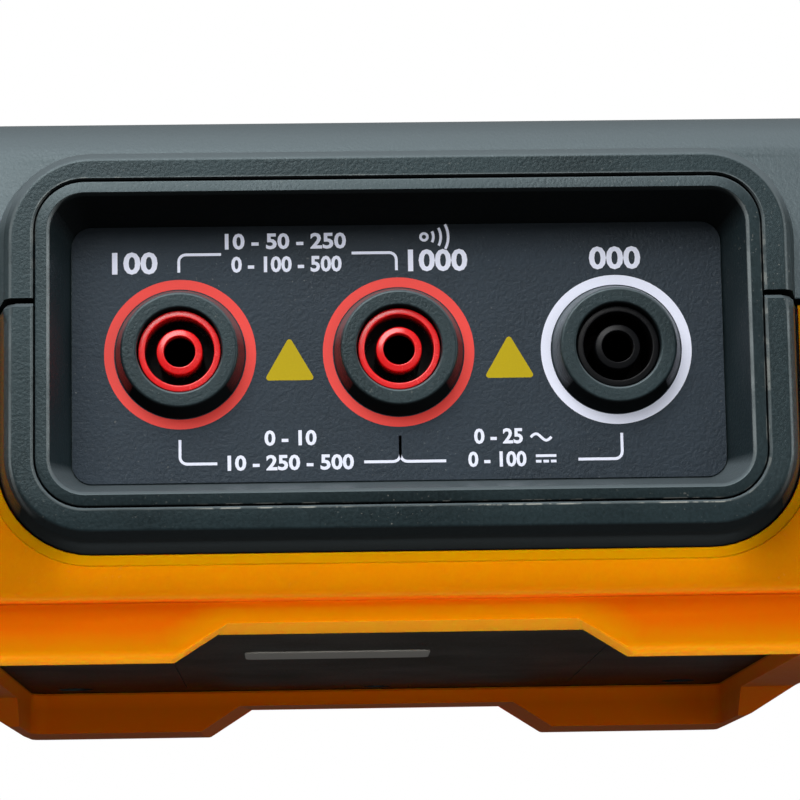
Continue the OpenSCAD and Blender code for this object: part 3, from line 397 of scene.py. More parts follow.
# %% Finishes of metal and inner parts
finish("contact_metal", (130, 116, 84), 0.36, 0.3, 0.006, 0.1, Metallic=1.0)
finish("screw_steel", (150, 152, 156), 0.34, 0.25, 0.01, 0.14, Metallic=1.0)
finish("spring_steel", (172, 174, 178), 0.3, 0.2, 0.008, 0.1, Metallic=1.0)
finish("board_laminate", (20, 88, 46), 0.4, 0.3, 0.008, 0.14)
finish("black_plastic", (26, 27, 28), 0.45, 0.4, 0.02, 0.14)
finish("lcd_surface", (168, 178, 160), 0.32, 0.3, 0.003, 0.03, Specular_IOR_Level=0.1)
finish("white_plastic", (222, 224, 220), 0.45, 0.4, 0.01, 0.04)
finish("ferrite", (54, 52, 50), 0.62, 0.2, 0.02, 0.16)
finish("copper_winding", (178, 92, 48), 0.34, 0.3, 0.05, 0.2, Metallic=0.8)
finish("component_blue", (38, 62, 128), 0.4, 0.5, 0.01, 0.1)
finish("fuse_body", (214, 210, 196), 0.3, 0.4, 0.01, 0.06)
finish("cell_wrap", (46, 48, 52), 0.24, 0.6, 0.004, 0.1, Coat_Weight=0.4)
# The plate's grey is partly painted shade of the case above it.
finish("plate_label", (150, 147, 140), 0.45, 0.3, 0.006, 0.05, 0.5)
print(len(FINISH), "finishes with the inner parts")

# %% Painted shade in the sockets
def colour_of(slot):
    """A finish's node tree, its colour socket, and what feeds that socket so far."""
    tree = FINISH[slot].node_tree
    shade = tree.nodes["Principled BSDF"].inputs["Base Color"]
    return tree, shade, shade.links[0].from_socket


for slot, mouth, way in (("jack_red", -86.9, 2.5), ("jack_black", -86.9, 2.5), ("contact_metal", -87.5, 2.0)):
    tree, shade, base = colour_of(slot)
    shade_mask = effect(tree, depth_shade, {"Mouth": mouth * MM, "Way": way * MM})["Mask"]
    # Deep in the sleeves and the contact the colour is painted near black as shade.
    tree.links.new(blend(shade_mask, base, tint(8, 2, 2)), shade)

# %% Painted shadow at the top of the label
tree, shade, base = colour_of("label_print")
# The label's top is painted dark as the shadow of the recess's top wall.
shade_mask = ramp(xyz(place_on(tree))[2], 0.0505, 0.0555, 0.0, 0.9)
tree.links.new(blend(shade_mask, base, tint(6, 7, 8)), shade)

# %% [markdown]
# The dark case is the surface that the photo shows most, so it gets more than the recipe.
# Faces turned up are greyed, partly by a film of dust and partly by painted sheen of the light above, and
# faces turned down are painted black as shade and kept dull. Both outlines of the insert and the frame's own
# ridge are painted pale, partly rubbed wear and partly painted highlight, and the outer outline, which is the
# seam, is knocked too.

# %% Case plastic
finish("case_plastic", (26, 37, 40), 0.38, 0.42, 0.05, 0.4, 0.3, Specular_Tint=tint(228, 250, 255))
tree, shade, base = colour_of("case_plastic")
# Millimetres: how far the face lies in front of the middle, and the heights of the sockets and the frame.
FACE, SOCKET_Z, FRAME_Z = 95, 38.8, 38.2


def edge_of(tree, half, middle, radius):
    """The worn and highlit edge group set to a rounded rectangle on the socket end, in millimetres."""
    return effect(tree, edge_wear_and_highlight, {"Half Size": (half[0] * MM, 1.0, half[1] * MM), "Radius": radius * MM,
                               "Middle": (0, -FACE * MM, middle * MM)})


seam, rim = (edge_of(tree, (39.3, 14.3), SOCKET_Z, radius) for radius in (6.4, 4.4))
ridge = edge_of(tree, (38.4, 13.9), FRAME_Z, 10.0)
# Pale lines along the outlines: rubbed edges, and painted highlights where they catch the light.
pale = times(maths("MAXIMUM", seam["Line"], ridge["Line"]), 0.45)
pale = maths("MAXIMUM", pale, rim["Line"])
base = blend(pale, base, tint(112, 119, 120))
base = blend(seam["Knocks"], base, tint(172, 172, 164))

# %% Dust, painted sheen and painted shade on the case
here = node(tree, "ShaderNodeTexCoord").outputs
facing, height = xyz(here["Normal"])[2], xyz(here["Object"])[2]
BOTTOM = (0.009, 0.011)  # heights over which the bottom turns into the sloped edge
# Faces turned up are greyed: partly dust, partly painted sheen of the light above.
base = blend(ramp(facing, 0.08, 0.42), base, tint(86, 96, 100))
# Faces turned down are painted near black as shade, and brown low down as a painted glow from the orange
# boot.
not_facing_down = ramp(facing, -0.6, -0.1)
underside_shade_and_glow = blend(ramp(height, *BOTTOM), tint(34, 27, 18), tint(18, 21, 22))
tree.links.new(blend(not_facing_down, underside_shade_and_glow, base), shade)
shine = times(not_facing_down, ramp(height, 0.0165, 0.021, 0.15, 0.5))
shine = maths("MAXIMUM", shine, ramp(height, *BOTTOM, 0.015, 0.0))
tree.links.new(shine, tree.nodes["Principled BSDF"].inputs["Specular IOR Level"])

# %% [markdown]
# The lower edges are painted yellow as a glow of light, and the rubber is painted deeper orange close under
# the step as shade.
# How far a point lies from the feet and from the notch between them is two straight lines and a minimum.
# Above the step the rubber is plain, apart from a yellower lip inside the cut-out for the frame, which is a
# painted highlight, and painted shade on the step's rounded edge.

# %% Boot rubber with painted glow and shade
tree, shade, base = colour_of("boot_rubber")
x, y, z = xyz(place_on(tree))
NOTCH_TOP, NOTCH_HALF = 0.0045, 0.022
above = maths("SUBTRACT", z, NOTCH_TOP)
beside = maths("SUBTRACT", maths("ABSOLUTE", x), NOTCH_HALF)
beside = maths("ADD", times(beside, 0.52), times(above, 0.854))
away = maths("MINIMUM", maths("MAXIMUM", above, beside), z)
front = maths("LESS_THAN", y, 0.0)
# Near the lower edges the rubber is painted yellow as a glow of light.
edge_glow = times(ramp(away, 0.001, 0.004, 1.0, 0.0), ramp(z, 0.0062, 0.007, 1.0, 0.0), front)
# The colour changes with height up to the step: painted light and shade of the overhang.
shaded = ramp(z, NOTCH_TOP, 0.0068)
lower = blend(edge_glow, blend(shaded, tint(200, 90, 0), tint(228, 104, 0)),
              blend(shaded, tint(190, 119, 0), tint(224, 140, 0)))
# The ledge right under the step is painted deep orange as shade.
lower = blend(ramp(z, 0.00702, 0.00715), lower, tint(190, 72, 0))

# %% Boot rubber above the step, with painted highlight and shade
STEP_EDGE = 0.0074
inside = ramp(edge_of(tree, (38.75, 13.25), FRAME_Z, 13.45)["Beyond"], -0.0001, 0.0001, 0.9, 0.0)
# The lip inside the cut-out is painted yellower as a highlight.
upper = blend(times(inside, front), base, tint(176, 119, 0))
# The step's rounded edge is painted darker as shade.
upper = blend(ramp(z, STEP_EDGE, 0.009, 0.8, 0.0), upper, tint(170, 100, 0))
tree.links.new(blend(ramp(z, 0.00722, STEP_EDGE, 0.9, 0.0), upper, lower), shade)

# %% Inks
INK_WHITE = finish("ink_white", (223, 227, 243), 0.5, 0.2, 0.004, 0.04)
INK_RED = finish("ink_red", (227, 58, 49), 0.5, 0.2, 0.004, 0.05)
INK_YELLOW = finish("ink_yellow", (178, 156, 0), 0.5, 0.2, 0.004, 0.05, Specular_IOR_Level=0.2)
INK_BLACK = finish("ink_black", (22, 22, 24), 0.3, 0.2, 0.004, 0.1, Specular_IOR_Level=0.15)

# %% [markdown]
# ## Shapes from stacked outlines
# Most mouldings of a hand tool are outlines that change slowly along one direction:
# a shell is a rounded rectangle that grows and shrinks with height. So the basic tool here joins
# a stack of outlines, and a second one turns a profile round an axis, as a lathe does.

# %% Mesh helpers
def make(name, points, faces, place=None):
    """A closed mesh object from points in millimetres, with its faces turned outwards."""
    mesh = bpy.data.meshes.new(name)
    mesh.from_pydata([Vector(p) * MM for p in points], [], faces)
    work = bmesh.new()
    work.from_mesh(mesh)
    bmesh.ops.remove_doubles(work, verts=work.verts, dist=1e-7)
    bmesh.ops.recalc_face_normals(work, faces=work.faces)
    work.to_mesh(mesh)
    work.free()
    if place:
        mesh.transform(place)
    made = bpy.data.objects.new(name, mesh)
    scene.collection.objects.link(made)
    return made


def stack(name, loops, place=None, ring=False):
    """A skin over loops of points. A ring joins its last loop to its first, and has no ends."""
    m, rows = len(loops[0]), len(loops)
    faces = []
    for j in range(rows if ring else rows - 1):
        a, b = j * m, (j + 1) % rows * m
        faces += [(a + i, a + (i + 1) % m, b + (i + 1) % m, b + i) for i in range(m)]
    if not ring:
        faces += [tuple(range(m)), tuple(range((rows - 1) * m, rows * m))]
    return make(name, [p for loop in loops for p in loop], faces, place)


def outline(hw, y0, y1, r, n=12):
    """Points of a rounded rectangle that spans -hw..hw and y0..y1."""
    corners = ((hw - r, y1 - r, 0), (r - hw, y1 - r, 90), (r - hw, y0 + r, 180), (hw - r, y0 + r, 270))
    turns = [(x, y, math.radians(a + 90 * i / n)) for x, y, a in corners for i in range(n + 1)]
    return [(x + r * math.cos(t), y + r * math.sin(t)) for x, y, t in turns]


def loft(name, rows, place=None, ring=False, n=12):
    """A skin over rounded rectangles, each row (height, half width, y0, y1, radius)."""
    return stack(name, [[(x, y, row[0]) for x, y in outline(*row[1:], n)] for row in rows], place, ring)


def rounded(corners, steps=5):
    """A closed polygon of (x, y, radius) with its corners rounded."""
    points = []
    for i, (x, y, r) in enumerate(corners):
        here = Vector((x, y))
        u = (Vector(corners[i - 1][:2]) - here).normalized()
        v = (Vector(corners[(i + 1) % len(corners)][:2]) - here).normalized()
        if r == 0:
            points.append((x, y))
            continue
        half = u.angle(v) / 2
        middle = here + (u + v).normalized() * (r / math.sin(half))
        start, end = (here + w * (r / math.tan(half)) - middle for w in (u, v))
        a = math.atan2(start.y, start.x)
        swing = (math.atan2(end.y, end.x) - a + math.pi) % (2 * math.pi) - math.pi
        turns = [a + swing * k / steps for k in range(steps + 1)]
        points += [(middle.x + r * math.cos(t), middle.y + r * math.sin(t)) for t in turns]
    return points


def lathe(name, corners, place=None, count=72):
    """A closed profile of (radius, height, corner radius) turned round the axis."""
    angles = [2 * math.pi * i / count for i in range(count)]
    loops = [[(r * math.cos(a), r * math.sin(a), h) for a in angles] for r, h in rounded(corners)]
    return stack(name, loops, place, ring=True)

# %% [markdown]
# Holes, slots and joints between stacked shapes are cut with booleans, as a milling cutter would.
# The result is settled into a plain mesh straight away, so nothing is left to recompute later.

# %% Cutting and finishing helpers
def mesh_of(body):
    """A plain mesh of what an object's modifiers or its font make."""
    bpy.context.view_layer.update()
    view = bpy.context.evaluated_depsgraph_get()
    return bpy.data.meshes.new_from_object(body.evaluated_get(view))


def settle(body):
    """The object's mesh becomes what its modifiers make of it."""
    shape = mesh_of(body)
    body.modifiers.clear()
    body.data = shape
    return body


def carve(body, *tools, how="DIFFERENCE"):
    """The body with other shapes cut away, or joined on with how="UNION". The tools are used up."""
    for tool in tools:
        cut = body.modifiers.new(tool.name, "BOOLEAN")
        cut.operation, cut.solver, cut.object = how, "EXACT", tool
    settle(body)
    for tool in tools:
        bpy.data.objects.remove(tool)
    return body


def join(name, *parts):
    """Several separate shells as one object."""
    points, faces = [], []
    for part in parts:
        base = len(points)
        points += [tuple(v.co / MM) for v in part.data.vertices]
        faces += [tuple(base + i for i in p.vertices) for p in part.data.polygons]
        bpy.data.objects.remove(part)
    return make(name, points, faces)


def dress(body, slot, *nodes, rides="instrument", ink=None, angle=32):
    """Gives a finished piece its material, smooth shading and body, and hides the nodes that it stands for.
    """
    body.data.materials.clear()
    body.data.materials.append(ink or FINISH[slot])
    body.data.polygons.foreach_set("material_index", [0] * len(body.data.polygons))
    body.data.shade_smooth()
    body.data.set_sharp_from_angle(angle=math.radians(angle))
    even = body.modifiers.new("even", "WEIGHTED_NORMAL")
    even.keep_sharp = True
    settle(body)
    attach(body, rides)
    if nodes:
        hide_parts(*nodes)
    print(body.name, "has", len(body.data.polygons), "faces and rides on", rides)
    return body

# %% Placing helpers
def at(x, y, z=0.0):
    """A place in millimetres."""
    return Matrix.Translation((x * MM, y * MM, z * MM))


def on_face(z, depth=0.0):
    """Local x, y and z become right, up and out of the socket end, from a point at that height and depth."""
    return Matrix(((1, 0, 0, 0), (0, 0, -1, (depth - FACE) * MM), (0, 1, 0, z * MM), (0, 0, 0, 1)))


def on_deck(x, y, z=0.0):
    """A place on the deck. Read from the far end, local x points right, and y away towards the sockets."""
    return Matrix.Translation(Vector((x, y, z)) * MM) @ Matrix.Rotation(math.pi, 4, "Z")


def block(name, x, y, z):
    """A plain cutter from its two ends along each axis."""
    return stack(name, [[(x[0], y[0], h), (x[1], y[0], h), (x[1], y[1], h), (x[0], y[1], h)] for h in z])

# %% [markdown]
# ## The socket frame's outer form
# Both case halves carry a piece of the raised frame round the sockets. Its front edge is bevelled,
# its sides flare so that the moulding leaves the mould, and at the top a hollow curve runs it
# into the case. Each half's share is a stack of outlines, and both begin with the same bevel.

# %% Raised frame
JOINT_Z = 44.5


HALF, BELOW, ABOVE, CORNER = 48, 23, 23.4, 9.5  # the frame at its face


def bezel_row(depth, grow, drop):
    """The frame's outline at a depth behind the face, grown at its sides and top and dropped below."""
    return (-depth, HALF + grow, -BELOW - drop, ABOVE + grow, CORNER + (grow + drop) / 2)


bevel = ((1.75, 1.5), (1.2, 1.45), (0.95, 1.33), (0.25, 0.72), (0.1, 0.55), (0.02, 0.38), (0, 0.2))
# The case front leans back, the frame's top rises inwards, and a hollow curve of this radius joins them.
LEAN, RISE, HOLLOW, CASE_FRONT, FRAME_TOP = 2.5 / 20 + 5 / 27, 0.2, 3, 7.5, 63.0
up, out = HOLLOW * math.hypot(1, RISE), HOLLOW * math.hypot(1, LEAN)
hollow_z = (FRAME_TOP + up + RISE * (CASE_FRONT - LEAN * JOINT_Z - out - 1.4)) / (1 - RISE * LEAN)
hollow_depth = CASE_FRONT + LEAN * (hollow_z - JOINT_Z) - out
first, last = -math.atan(LEAN), math.atan(RISE) - math.pi / 2
hollow = [(hollow_depth + HOLLOW * math.cos(a), hollow_z + HOLLOW * math.sin(a) - FRAME_Z - ABOVE)
          for a in (first + (last - first) * i / 8 for i in range(9))]
print("hollow curve centred", round(hollow_depth, 2), "mm behind the face")

# %% The frame's share of each half
upper_rows = [bezel_row(depth, grow, 1.4) for depth, grow in hollow]
upper_rows += [bezel_row(depth, grow, grow) for depth, grow in bevel]
upper_frame = loft("upper_frame", upper_rows, on_face(FRAME_Z))
carve(upper_frame, block("below", (-90, 90), (-120, 0), (0, 44.52)))
lower_rows = [bezel_row(11.5, 3.42, 2.41), bezel_row(6.5, 2.41, 2.1)]
lower_rows += [bezel_row(depth, grow, grow - 0.5) for depth, grow in bevel]
lower_frame = loft("lower_frame", lower_rows, on_face(FRAME_Z))

# %% [markdown]
# The lower half's edge is broken where the halves meet, so a fine light line marks the joint.
# We keep only what lies inside a form that draws in over the last half millimetre.

# %% Broken edge at the joint
def frame_plan(z, inset):
    """The frame's plan at a height: its face, bevel and flank on one side, mirrored to the other."""
    half = [(48 - 0.6 * inset, inset - FACE), (49.4 - inset, 0.4 * inset - 93.6),
            (51.5 - inset, -83.5), (51.5 - inset, -60)]
    return [(-x, y, z) for x, y in reversed(half)] + [(x, y, z) for x, y in half]


plans = [frame_plan(0, -6), frame_plan(43.4, -0.03), frame_plan(43.88, 0.45)]
carve(lower_frame, stack("kept", plans), how="INTERSECT")

# %% [markdown]
# The insert with the recess sits in a hole that both halves share, with a groove for its tongue.

# %% Hole for the insert
def well(name):
    """A cutter for the insert's seat. It widens in the middle for the tongue and at the mouth."""
    rows = [(-30, 0), (-6.6, 0), (-6.6, 1.6), (-4.4, 1.6), (-4.4, 0), (-0.22, 0), (0, 0.2), (2, 2.2)]
    return loft(name, [(d, 45.7 + g, -20.7 - g, 20.7 + g, 6.4 + g) for d, g in rows], on_face(SOCKET_Z))

# %% [markdown]
# ## Upper case
# The upper half is a lid with leaning walls and a soft shoulder round the flat deck.
# It is hollow, and the deck has openings for the window, the keys, the shaft, the button and the lamp.

# %% Upper case shell
def lid_row(z, inset):
    """The lid's outline at a height. Its front edge is set back as it rises."""
    back = 5 * (z - JOINT_Z) / 27
    return (z, 74.5 - inset, -88 + inset + back, 94.5 - inset, max(17.5 - inset, 2))


def shoulder(wall, step):
    """Rows round the quarter circle between the walls and the deck, a wall further in."""
    turns = [math.radians(a) for a in range(0, 91, step)]
    return [lid_row(64.5 + (7 - wall) * math.sin(a), 9.5 - (7 - wall) * math.cos(a)) for a in turns]


joint_rows = [lid_row(JOINT_Z, 0.35), lid_row(44.6, 0.12), lid_row(44.85, 0.04)]
upper = loft("upper_shell", joint_rows + shoulder(0, 6))
carve(upper, upper_frame, how="UNION")
carve(upper, loft("inside", [lid_row(44, 4.6), lid_row(48.5, 4.6), lid_row(52.5, 3.75)] + shoulder(2.5, 15)))
carve(upper, well("well_upper"))

# %% Openings in the deck
KNOB, BUTTON, LAMP, KEY_Y = (28, 43.25), (-37.7, 43.25), (-7.45, 23.65), 1.5
KEYS = {"key_backlight": -40, "key_hold": -20, "key_range": 0, "key_timer": 20, "key_compare": 40}


def hole(x, y, r, z=(60, 80)):
    """A round cutter or post between two heights."""
    return lathe("hole", [(0, z[0], 0), (r, z[0], 0), (r, z[1], 0), (0, z[1], 0)], at(x, y))


def opening(name, shape, z, place=None):
    """A cutter with straight walls between two heights, shape (half width, y0, y1, radius)."""
    return loft(name, [(h, *shape) for h in z], place)


carve(upper, opening("overlay_seat", (60.1, -69.6, 81.1, 6), (71.0, 75)))
carve(upper, opening("window_seat", (46.1, -59.6, -13.4, 3), (69.7, 75)))
carve(upper, opening("window_view", (42, -55.5, -17.5, 2), (60, 75)))
carve(upper, hole(*KNOB, 5.1), hole(*BUTTON, 4.35), hole(*LAMP, 2.55))
for x in KEYS.values():
    carve(upper, opening("key_way", (7.8, -4.3, 4.3, 2.8), (60, 80), at(x, KEY_Y)))
dress(upper, "case_plastic", "upper_case")

# %% [markdown]
# ## Lower case
# The lower half is a tub with a sloped edge round its bottom. Four screws come up through posts,
# and the battery cover closes an opening in the floor.

# %% Lower case shell
def case_row(z, inset):
    """The tub's outline at a height, drawn in by an inset."""
    return (z, 72.4 - inset, -85.9 + inset, 92.4 - inset, max(15.4 - inset, 2))


lower = loft("lower_shell", [case_row(7.5, 10.3), case_row(7.6, 9.9), case_row(13.3, 0.25), case_row(13.8, 0),
                             case_row(43.65, 0), case_row(43.9, 0.25)])
carve(lower, lower_frame, how="UNION")
carve(lower, loft("inside", [case_row(10, 11.25), case_row(14.75, 2.5), case_row(45, 2.5)]))
carve(lower, well("well_lower"))
corners = [(x, y) for x in (-52, 52) for y in (-64, 72)]
carve(lower, *(hole(x, y, 4.5, (9, 43.7)) for x, y in corners), how="UNION")
screw_ways = ((3.1, (5, 11.5)), (1.7, (10, 50)))
carve(lower, *(hole(x, y, r, z) for r, z in screw_ways for x, y in corners))
carve(lower, block("cover_way", (-32.9, 32.9), (-40.6, 71.6), (5, 12)),
      block("tab_way", (-5.6, 5.6), (-47.6, 78.6), (5, 12)))
dress(lower, "case_plastic", "lower_case")

# %% [markdown]
# ## Rubber boot
# The boot is moulded in one piece of orange rubber and pulled over the lower case. From the outside in:
# a tall wall with a rounded rim, a step near the table, and a narrower band that ends in four corner feet.
# Cutting the case out of the solid form leaves a wall of even thickness.

# %% Boot form
def boot_row(z, inset):
    """The boot's outline at a height, drawn in by an inset."""
    return (z, 75 - inset, -88.5 + inset, 95 - inset, max(18 - inset, 2))


feet = [(0, 3.6), (0.1, 2.9), (0.35, 2.3), (0.75, 1.95), (1.3, 1.85)]
hollow_band = [(2.2, 2.1), (3.4, 2.5), (5, 2.85), (6.8, 2.9), (7.12, 2.8), (7.2, 2.5)]
step = [(7.26, 1.1), (7.36, 0.6), (7.6, 0.25), (8.0, 0.06), (8.6, 0)]
rim_rows = [(42.6, 0), (43.2, 0.14), (43.65, 0.5), (43.9, 1.2)]
boot = loft("boot", [boot_row(*row) for row in feet + hollow_band + step + rim_rows], n=16)
carve(boot, loft("case_form", [case_row(7.4, 9.9), case_row(13.5, -0.1), case_row(46, -0.1)]))
floor_rows = [boot_row(-1, 8.5), boot_row(0.0, 8.5), boot_row(0.45, 14.6), boot_row(8.5, 15)]
carve(boot, loft("open_bottom", floor_rows))

# %% [markdown]
# At the socket end the wall is cut out round the frame. The edge of that cut-out is chamfered,
# which is the light strip under the frame in the photo.

# %% Cut-out round the frame
lip = [(12, 0.3), (6.8, 0.3), (6.62, 0.4), (6.82, 1.55), (6.95, 1.68), (6.52, 1.8), (6.42, 2.0), (5, 2.6)]
notch = []
for depth, gap in lip:
    run = depth - 1.4
    notch.append((-depth, 49.4 + 0.2 * run + gap, -24.4 - 0.1 * run - gap, 40, 10.9 + 0.15 * run + gap))
carve(boot, loft("notch", notch, on_face(FRAME_Z)))

# %% [markdown]
# The feet are what is left when a wide shallow notch with sloped ends is cut through each wall.
# The notch widens inwards, and its edge is broken by a fine chamfer. Towards the long sides
# the feet slope up to the step.

# %% Feet
def foot_cut(half, spread, lift):
    """The notch between two feet, with its clear half width spread and its ceiling lifted."""
    a, b, h = half + 7.5 + spread + 1.5 * lift, half + spread, 4.8 + lift
    return [(-a, -1), (-a, 0), (-b, h), (b, h), (a, 0), (a, -1)]


# Each row is a place along the notch, how far it spreads and how far its ceiling is lifted.
along = [(-98, 0, -0.2), (-86.1, 0, -0.2), (-85.9, 0, -0.35), (-74, 1.6, -0.77),
         (80, 2, 0), (92.3, 0, 0), (92.6, 0, 0.3), (99, 0, 0.3)]
across = [(-80, 0, 0.3), (-72.6, 0, 0.3), (-72.3, 0, 0), (-60, 2, 0),
          (60, 2, 0), (72.3, 0, 0), (72.6, 0, 0.3), (80, 0, 0.3)]
carve(boot, stack("end_cut", [[(x, y, z) for x, z in foot_cut(22, *row)] for y, *row in along]))
carve(boot, stack("side_cut", [[(x, y + 3.25, z) for y, z in foot_cut(45, *row)] for x, *row in across]))
rising = [(60.4, -1), (60.4, 0), (61.1, 0.1), (62.6, 0.74), (76, 9.216), (76, -1)]
for side in (-1, 1):
    carve(boot, stack("slope", [[(side * x, y, z) for x, z in rising] for y in (-98, 99)]))

# %% [markdown]
# ## Repeating things with Geometry Nodes
# Grip grooves, dial ticks and display bars are one small form repeated. A node tree does that:
# it lays points in a row, turns each one by its number, and puts the form on every point.
# The same tree makes a straight row or a dial, depending on the step and the turn.
# Every tree in this lesson begins and ends alike, so three helpers come first.

# %% Helpers for node trees
GEOMETRY, MATERIAL = "NodeSocketGeometry", "NodeSocketMaterial"


def shaper(name, *inputs):
    """A Geometry Nodes tree and what it is given: a shape, the named values and a finish."""
    made = bpy.data.node_groups.new(name, "GeometryNodeTree")
    for label, kind in (("Geometry", GEOMETRY), *inputs, ("Finish", MATERIAL)):
        made.interface.new_socket(label, in_out="INPUT", socket_type=kind)
    made.interface.new_socket("Geometry", in_out="OUTPUT", socket_type=GEOMETRY)
    return made, made.nodes.new("NodeGroupInput").outputs


def end_tree(tree, given, shape):
    """The tree's end: real geometry with its finish on."""
    real = node(tree, "GeometryNodeRealizeInstances", {0: shape}).outputs[0]
    painted = node(tree, "GeometryNodeSetMaterial", {"Geometry": real, "Material": given["Finish"]})
    node(tree, "NodeGroupOutput", {0: painted.outputs[0]})


def shaped(body, tree, values):
    """The body as the tree makes it. A value is named by its socket, and set by the socket's identifier."""
    grown = body.modifiers.new(tree.name, "NODES")
    grown.node_group = tree
    for socket in tree.interface.items_tree:
        if socket.in_out == "INPUT" and socket.name in values:
            grown[socket.identifier] = values[socket.name]
    return settle(body)

# %% Node tree for repeats
repeat, given = shaper("repeat", ("Count", "NodeSocketInt"), ("Start", VECTOR), ("Step", VECTOR),
                       ("First Turn", FLOAT), ("Turn Step", FLOAT))
line = node(repeat, "GeometryNodeMeshLine",
            {"Count": given["Count"], "Start Location": given["Start"], "Offset": given["Step"]})
index = node(repeat, "GeometryNodeInputIndex").outputs[0]
angle = maths("ADD", times(index, given["Turn Step"]), given["First Turn"])
turned = node(repeat, "ShaderNodeCombineXYZ", {2: angle}).outputs[0]
placed = node(repeat, "GeometryNodeInstanceOnPoints",
              {"Points": line.outputs[0], "Instance": given["Geometry"], "Rotation": turned})
end_tree(repeat, given, placed.outputs[0])


def repeated(body, material, count, start=(0, 0, 0), step=(0, 0, 0), first_turn=0.0, turn_step=0.0):
    """The body repeated. Places are in millimetres and turns in degrees."""
    return shaped(body, repeat, {
        "Count": count, "Start": Vector(start) * MM, "Step": Vector(step) * MM, "Finish": material,
        "First Turn": math.radians(first_turn), "Turn Step": math.radians(turn_step)})

# %% Grip grooves
SIDEWAYS = Matrix(((0, 0, 1, 0), (1, 0, 0, 0), (0, 1, 0, 0), (0, 0, 0, 1)))
GRIPS, GRIP_PITCH, GRIP_Z = 9, 7, 26.25
widths = ((74.1, 1.1), (74.3, 1.3), (75, 1.5), (77, 2.2))
for side in (-1, 1):
    rows = [(side * x, w, -w - 8.5, w + 8.5, w * 0.96) for x, w in widths]
    groove = loft("groove", rows, SIDEWAYS, n=6)
    repeated(groove, FINISH["boot_rubber"], GRIPS, (0, -12.5, GRIP_Z), (0, GRIP_PITCH, 0))
    carve(boot, groove)
dress(boot, "boot_rubber", "protective_boot")

# %% [markdown]
# ## Socket insert
# The insert is a picture frame: a rounded lip at the front, walls that slope to the recess floor,
# and a tongue that both case halves grip. Its section is closed, so the stack of outlines is a ring.

# %% Insert
section = [(-14, 45.5, 6.2), (-6.5, 45.5, 6.2), (-6.5, 47.1, 7.8), (-4.5, 47.1, 7.8), (-4.5, 45.5, 6.2),
           (-0.4, 45.5, 6.2), (-0.25, 45.43, 6.13), (-0.16, 45.27, 5.97), (0, 44.1, 4.8), (-0.05, 44.0, 4.7),
           (-0.36, 43.69, 4.39), (-0.5, 43.63, 4.33),
           (-9.7, 41.68, 2.68), (-10, 41.6, 2.6), (-10, 43.9, 4.9), (-14, 43.9, 4.9)]
insert = loft("insert", [(d, w, 25 - w, w - 25, r) for d, w, r in section], on_face(SOCKET_Z), ring=True)
dress(insert, "case_plastic", "socket_bezel")

# %% [markdown]
# ## Sockets
# Each socket is a dark collar with a coloured double sleeve inside. The double wall keeps fingers
# away from the metal contact, whose mouth is set back behind the inner sleeve's lip.
# All of these are turned parts, so the lathe makes them from one profile each.

# %% Collars
JACKS = {"jack_body_low": -27.8, "jack_body_high": 0, "jack_body_common": 27.8}
RECESS = 10


def at_jack(x):
    """The middle of a socket on the recess floor."""
    return at(x, 0) @ on_face(SOCKET_Z, RECESS)


collar = [(5.4, 0, 0), (8.38, 0, 0), (7.36, 4, 0.4), (5.4, 4, 0.3)]
collars = join("collars", *(lathe("collar", collar, at_jack(x), 96) for x in JACKS.values()))
dress(collars, "case_plastic", "jack_collars")

# %% Insulating sleeves
sleeve = [(2.5, -15, 0), (5.2, -15, 0), (5.2, -5, 0), (7.4, -5, 0), (7.4, -3, 0), (5.2, -3, 0),
          (5.2, 2.9, 0.15), (4.4, 3.0, 0.15), (4.4, -12, 0), (2.9, -12, 0),
          (2.9, 2.36, 0.28), (2.0, 2.66, 0.12), (2.0, 1.1, 0), (2.5, 1.1, 0)]
for name, x in JACKS.items():
    slot = "jack_black" if name.endswith("common") else "jack_red"
    dress(lathe(name + "_sleeves", sleeve, at_jack(x), 80), slot, name)

# %% [markdown]
# ## Printing on the label
# The label is a sheet with rings round the sockets, thin lines that tie them together, and signs.
# Ink is a very thin layer, so each print is a closed shape two hundredths of a millimetre thick.
# We keep to plain numbers and simple signs, which belong to nobody.

# %% Rings and triangles
INK_DEPTH, LABEL_DEPTH = 0.02, 9.6
LABEL = on_face(SOCKET_Z, LABEL_DEPTH)
low = RECESS - LABEL_DEPTH
band = [(8.4, low, 0), (9.65, low, 0), (9.65, low + INK_DEPTH, 0), (8.4, low + INK_DEPTH, 0)]
for name, x in JACKS.items():
    ring = lathe("ring_" + name[10:], band, at_jack(x), 96)
    dress(ring, "label_print", ink=INK_WHITE if name.endswith("common") else INK_RED)


def plate(name, corners, place):
    """A flat shape as thick as ink, with rounded corners."""
    loop = rounded(corners)
    return stack(name, [[(x, y, h) for x, y in loop] for h in (0.0, INK_DEPTH)], place)


for name, x in (("left", -13.9), ("right", 14.1)):
    shape = [(x - 3.25, -3.5, 0.35), (x + 3.25, -3.5, 0.35), (x, 2.15, 0.35)]
    dress(plate("triangle_" + name, shape, LABEL), "label_print", ink=INK_YELLOW)

# %% [markdown]
# The lines are paths with rounded corners. A second node tree turns a path into a strip: it rounds
# the corners, then carries a small square along. Pressing the result flat makes it ink.

